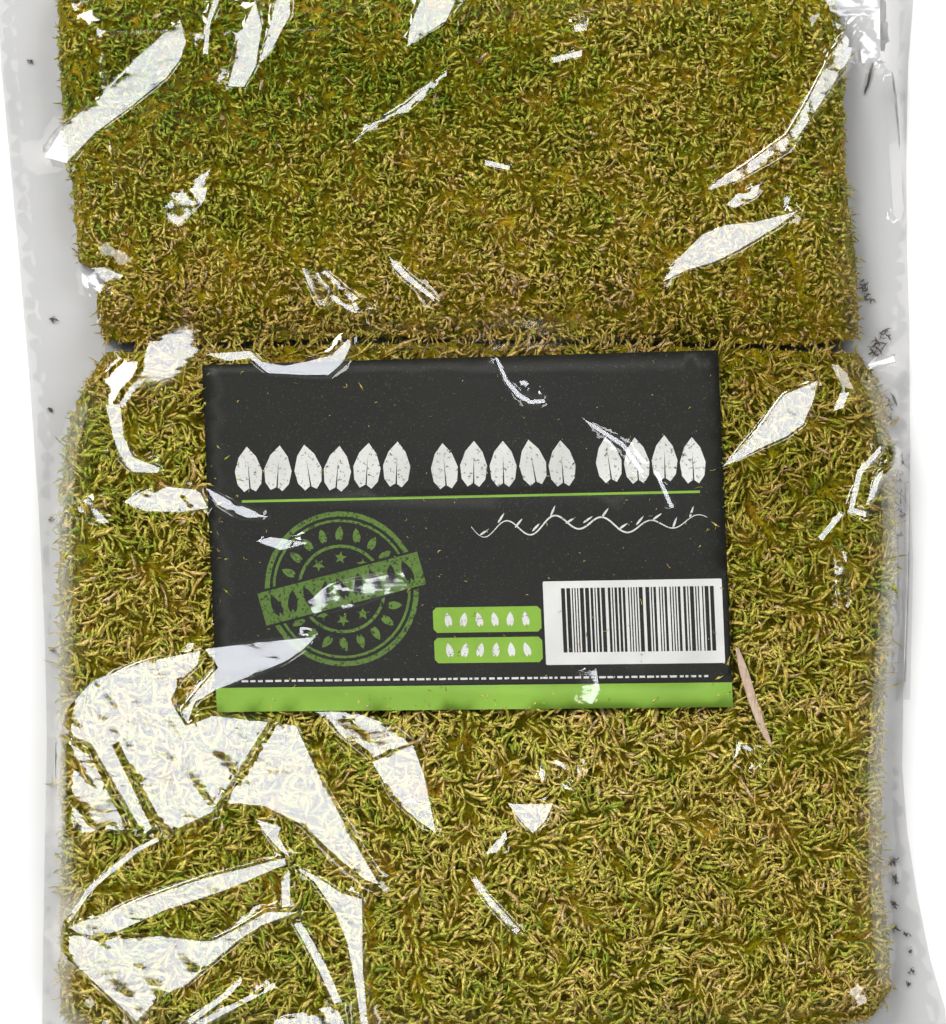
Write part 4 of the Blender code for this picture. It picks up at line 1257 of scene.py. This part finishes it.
def make_front_film():
    """The front film: a thin sheet with real facets, creases between them and fine crumples."""
    rim = walk_outline(BAG_OUTLINE, 4 * MM)
    folds = [places(pixels) for _, _, pixels in FOLDS.values()]
    loops = [walk_outline(fold, 3 * MM) for fold in folds]
    toes = np.concatenate([just_outside(loop, reach) for loop in loops for reach in FLANK_REACHES])
    toes = toes[depth_inside(toes, BAG_OUTLINE) > 1 * MM]
    coarse = staggered_points(rim, FILM_POINT_SPACING, 0.25)
    fine = staggered_points(rim, FINE_POINT_SPACING, 0.3)
    fine = fine[crumple(fine) > LEAST_CRUMPLE]
    gap_to_fold = np.min([nearest_on_outline(coarse, fold)[1] for fold in folds], axis=0)
    coarse = coarse[(gap_to_fold > 0.8 * FILM_POINT_SPACING) & (crumple(coarse) <= LEAST_CRUMPLE)]
    flat_mesh = triangulate(rim, loops, np.concatenate([coarse, fine, toes]))
    corners = flat_mesh[0]
    wrinkle = CRUMPLE_HEIGHT * crumple(corners) * stretched_ripples(corners)
    height = film_underside(corners) + FILM_THICKNESS - SHOWN_FILM_THICKNESS + wrinkle
    mesh = slab("front_film", flat_mesh, height + SHOWN_FILM_THICKNESS, height)
    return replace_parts(show("front_film", mesh, [FILM]), "bag_front_film")


# The view, the floor and the light

CAMERA_HEIGHT = 10.0
MOSS_TOP = FLOOR_OF_MOSS + MOSS_DEPTH
SENSOR = 36.0
FLOOR_SIZE = 14.0
GLARE_LIGHT_DISTANCE = 10.0
GLARE_LIGHT_SIZE = 1.25
GLARE_BRIGHTNESS = 9.5
GLARE_COLOUR = (0.88, 0.92, 1.0)
KEY_BRIGHTNESS = 13.0
KEY_COLOUR = (1.0, 0.99, 0.97)
SOFT_LIGHT_DISTANCE = 4.0
SOFT_LIGHT_SIZE = 1.7
# Fill softboxes: azimuth, tilt and brightness as a share of the key softbox's
FILLS = {"side_softbox": (45, 48, 0.40), "low_softbox": (315, 46, 0.40), "left_softbox": (225, 46, 0.30)}
# What the surroundings reflect, by height: grey from below, nearly black from above
SURROUNDINGS = [(0.0, (0.30, 0.30, 0.30)), (0.5, (0.16, 0.16, 0.16)), (0.9, (0.01, 0.01, 0.01))]


def make_view():
    """A camera straight above the bag, far enough to look straight down on all of it, in plain colours."""
    lens = bpy.data.cameras.new("view")
    lens.sensor_width = SENSOR
    lens.lens = SENSOR * (CAMERA_HEIGHT - MOSS_TOP) / (VIEW_HEIGHT * PIXEL)
    lens.clip_end = 100.0
    camera = bpy.data.objects.new("view", lens)
    camera.location = (0.0, 0.0, CAMERA_HEIGHT)
    bpy.context.scene.collection.objects.link(camera)
    bpy.context.scene.camera = camera
    bpy.context.scene.view_settings.view_transform = "Standard"


def floor_finish():
    """A pale painted floor, nearly white, with a faint cloudiness."""
    material, use, shader = finish("pale_floor")
    cloudiness = use.ramp(use.noise(3.0), [(0.3, (0.86, 0.86, 0.86)), (0.7, (0.90, 0.90, 0.90))])
    use.wire(shader, {"Base Color": cloudiness, "Roughness": 0.8})
    return material


def make_floor():
    """The plain pale floor."""
    mesh = bpy.data.meshes.new("floor")
    half = FLOOR_SIZE / 2
    mesh.from_pydata([(-half, -half, 0.0), (half, -half, 0.0), (half, half, 0.0), (-half, half, 0.0)], [],
                     [(0, 1, 2, 3)])
    mesh.materials.append(floor_finish())
    floor = bpy.data.objects.new("floor", mesh)
    bpy.context.scene.collection.objects.link(floor)
    floor.location = (0.0, 0.0, -0.05 * MM)


def add_softbox(name, azimuth, tilt, distance, size, brightness, colour=(1.0, 1.0, 1.0)):
    """A square softbox that faces the bag. Its tilt is its angle from straight up; angles are degrees."""
    lamp = bpy.data.lights.new(name, "AREA")
    lamp.shape = "SQUARE"
    lamp.size = size
    lamp.energy = brightness * math.pi * size * size
    lamp.color = colour
    box = bpy.data.objects.new(name, lamp)
    azimuth, tilt = math.radians(azimuth), math.radians(tilt)
    towards = Vector((math.cos(azimuth) * math.sin(tilt), math.sin(azimuth) * math.sin(tilt), math.cos(tilt)))
    box.location = distance * towards
    box.rotation_euler = towards.to_track_quat("Z", "Y").to_euler()
    bpy.context.scene.collection.objects.link(box)


def make_light():
    """One small bright softbox that the film's facets mirror, and larger soft ones that light the moss."""
    glare_tilt = math.degrees(2 * math.atan(FOLD_SLOPE))
    add_softbox("glare_softbox", math.degrees(FOLD_FACING), glare_tilt, GLARE_LIGHT_DISTANCE,
                GLARE_LIGHT_SIZE, GLARE_BRIGHTNESS, GLARE_COLOUR)
    add_softbox("key_softbox", 130, 42, SOFT_LIGHT_DISTANCE, 1.9, KEY_BRIGHTNESS, KEY_COLOUR)
    for name, (azimuth, tilt, share) in FILLS.items():
        add_softbox(name, azimuth, tilt, SOFT_LIGHT_DISTANCE, SOFT_LIGHT_SIZE, share * KEY_BRIGHTNESS)


def make_surroundings():
    """The dim studio around the bag, which the film reflects faintly."""
    world = bpy.data.worlds.new("studio")
    world.use_nodes = True
    use = NodeMaker(world.node_tree)
    direction = use.node("ShaderNodeTexCoord").outputs["Generated"]
    level = use.node("ShaderNodeSeparateXYZ", {"Vector": direction})
    background = world.node_tree.nodes["Background"]
    use.feed(background.inputs["Color"], use.ramp(level.outputs["Z"], SURROUNDINGS))
    world.cycles.sampling_method = "NONE"
    bpy.context.scene.world = world


def limit_bounces():
    """As few bounces of light as keep the look, so that a render takes less time."""
    light_paths = bpy.context.scene.cycles
    light_paths.diffuse_bounces = 1
    light_paths.glossy_bounces = 1
    light_paths.caustics_reflective = False
    light_paths.caustics_refractive = False
    light_paths.use_light_tree = False


make_view()
make_floor()
make_light()
make_surroundings()
limit_bounces()
make_moss()
make_card()
make_stem()
make_card_crumbs()
make_margin_bits()
make_roots()
make_front_film()
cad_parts["bag_back_film"].material_slots[0].material = FILM
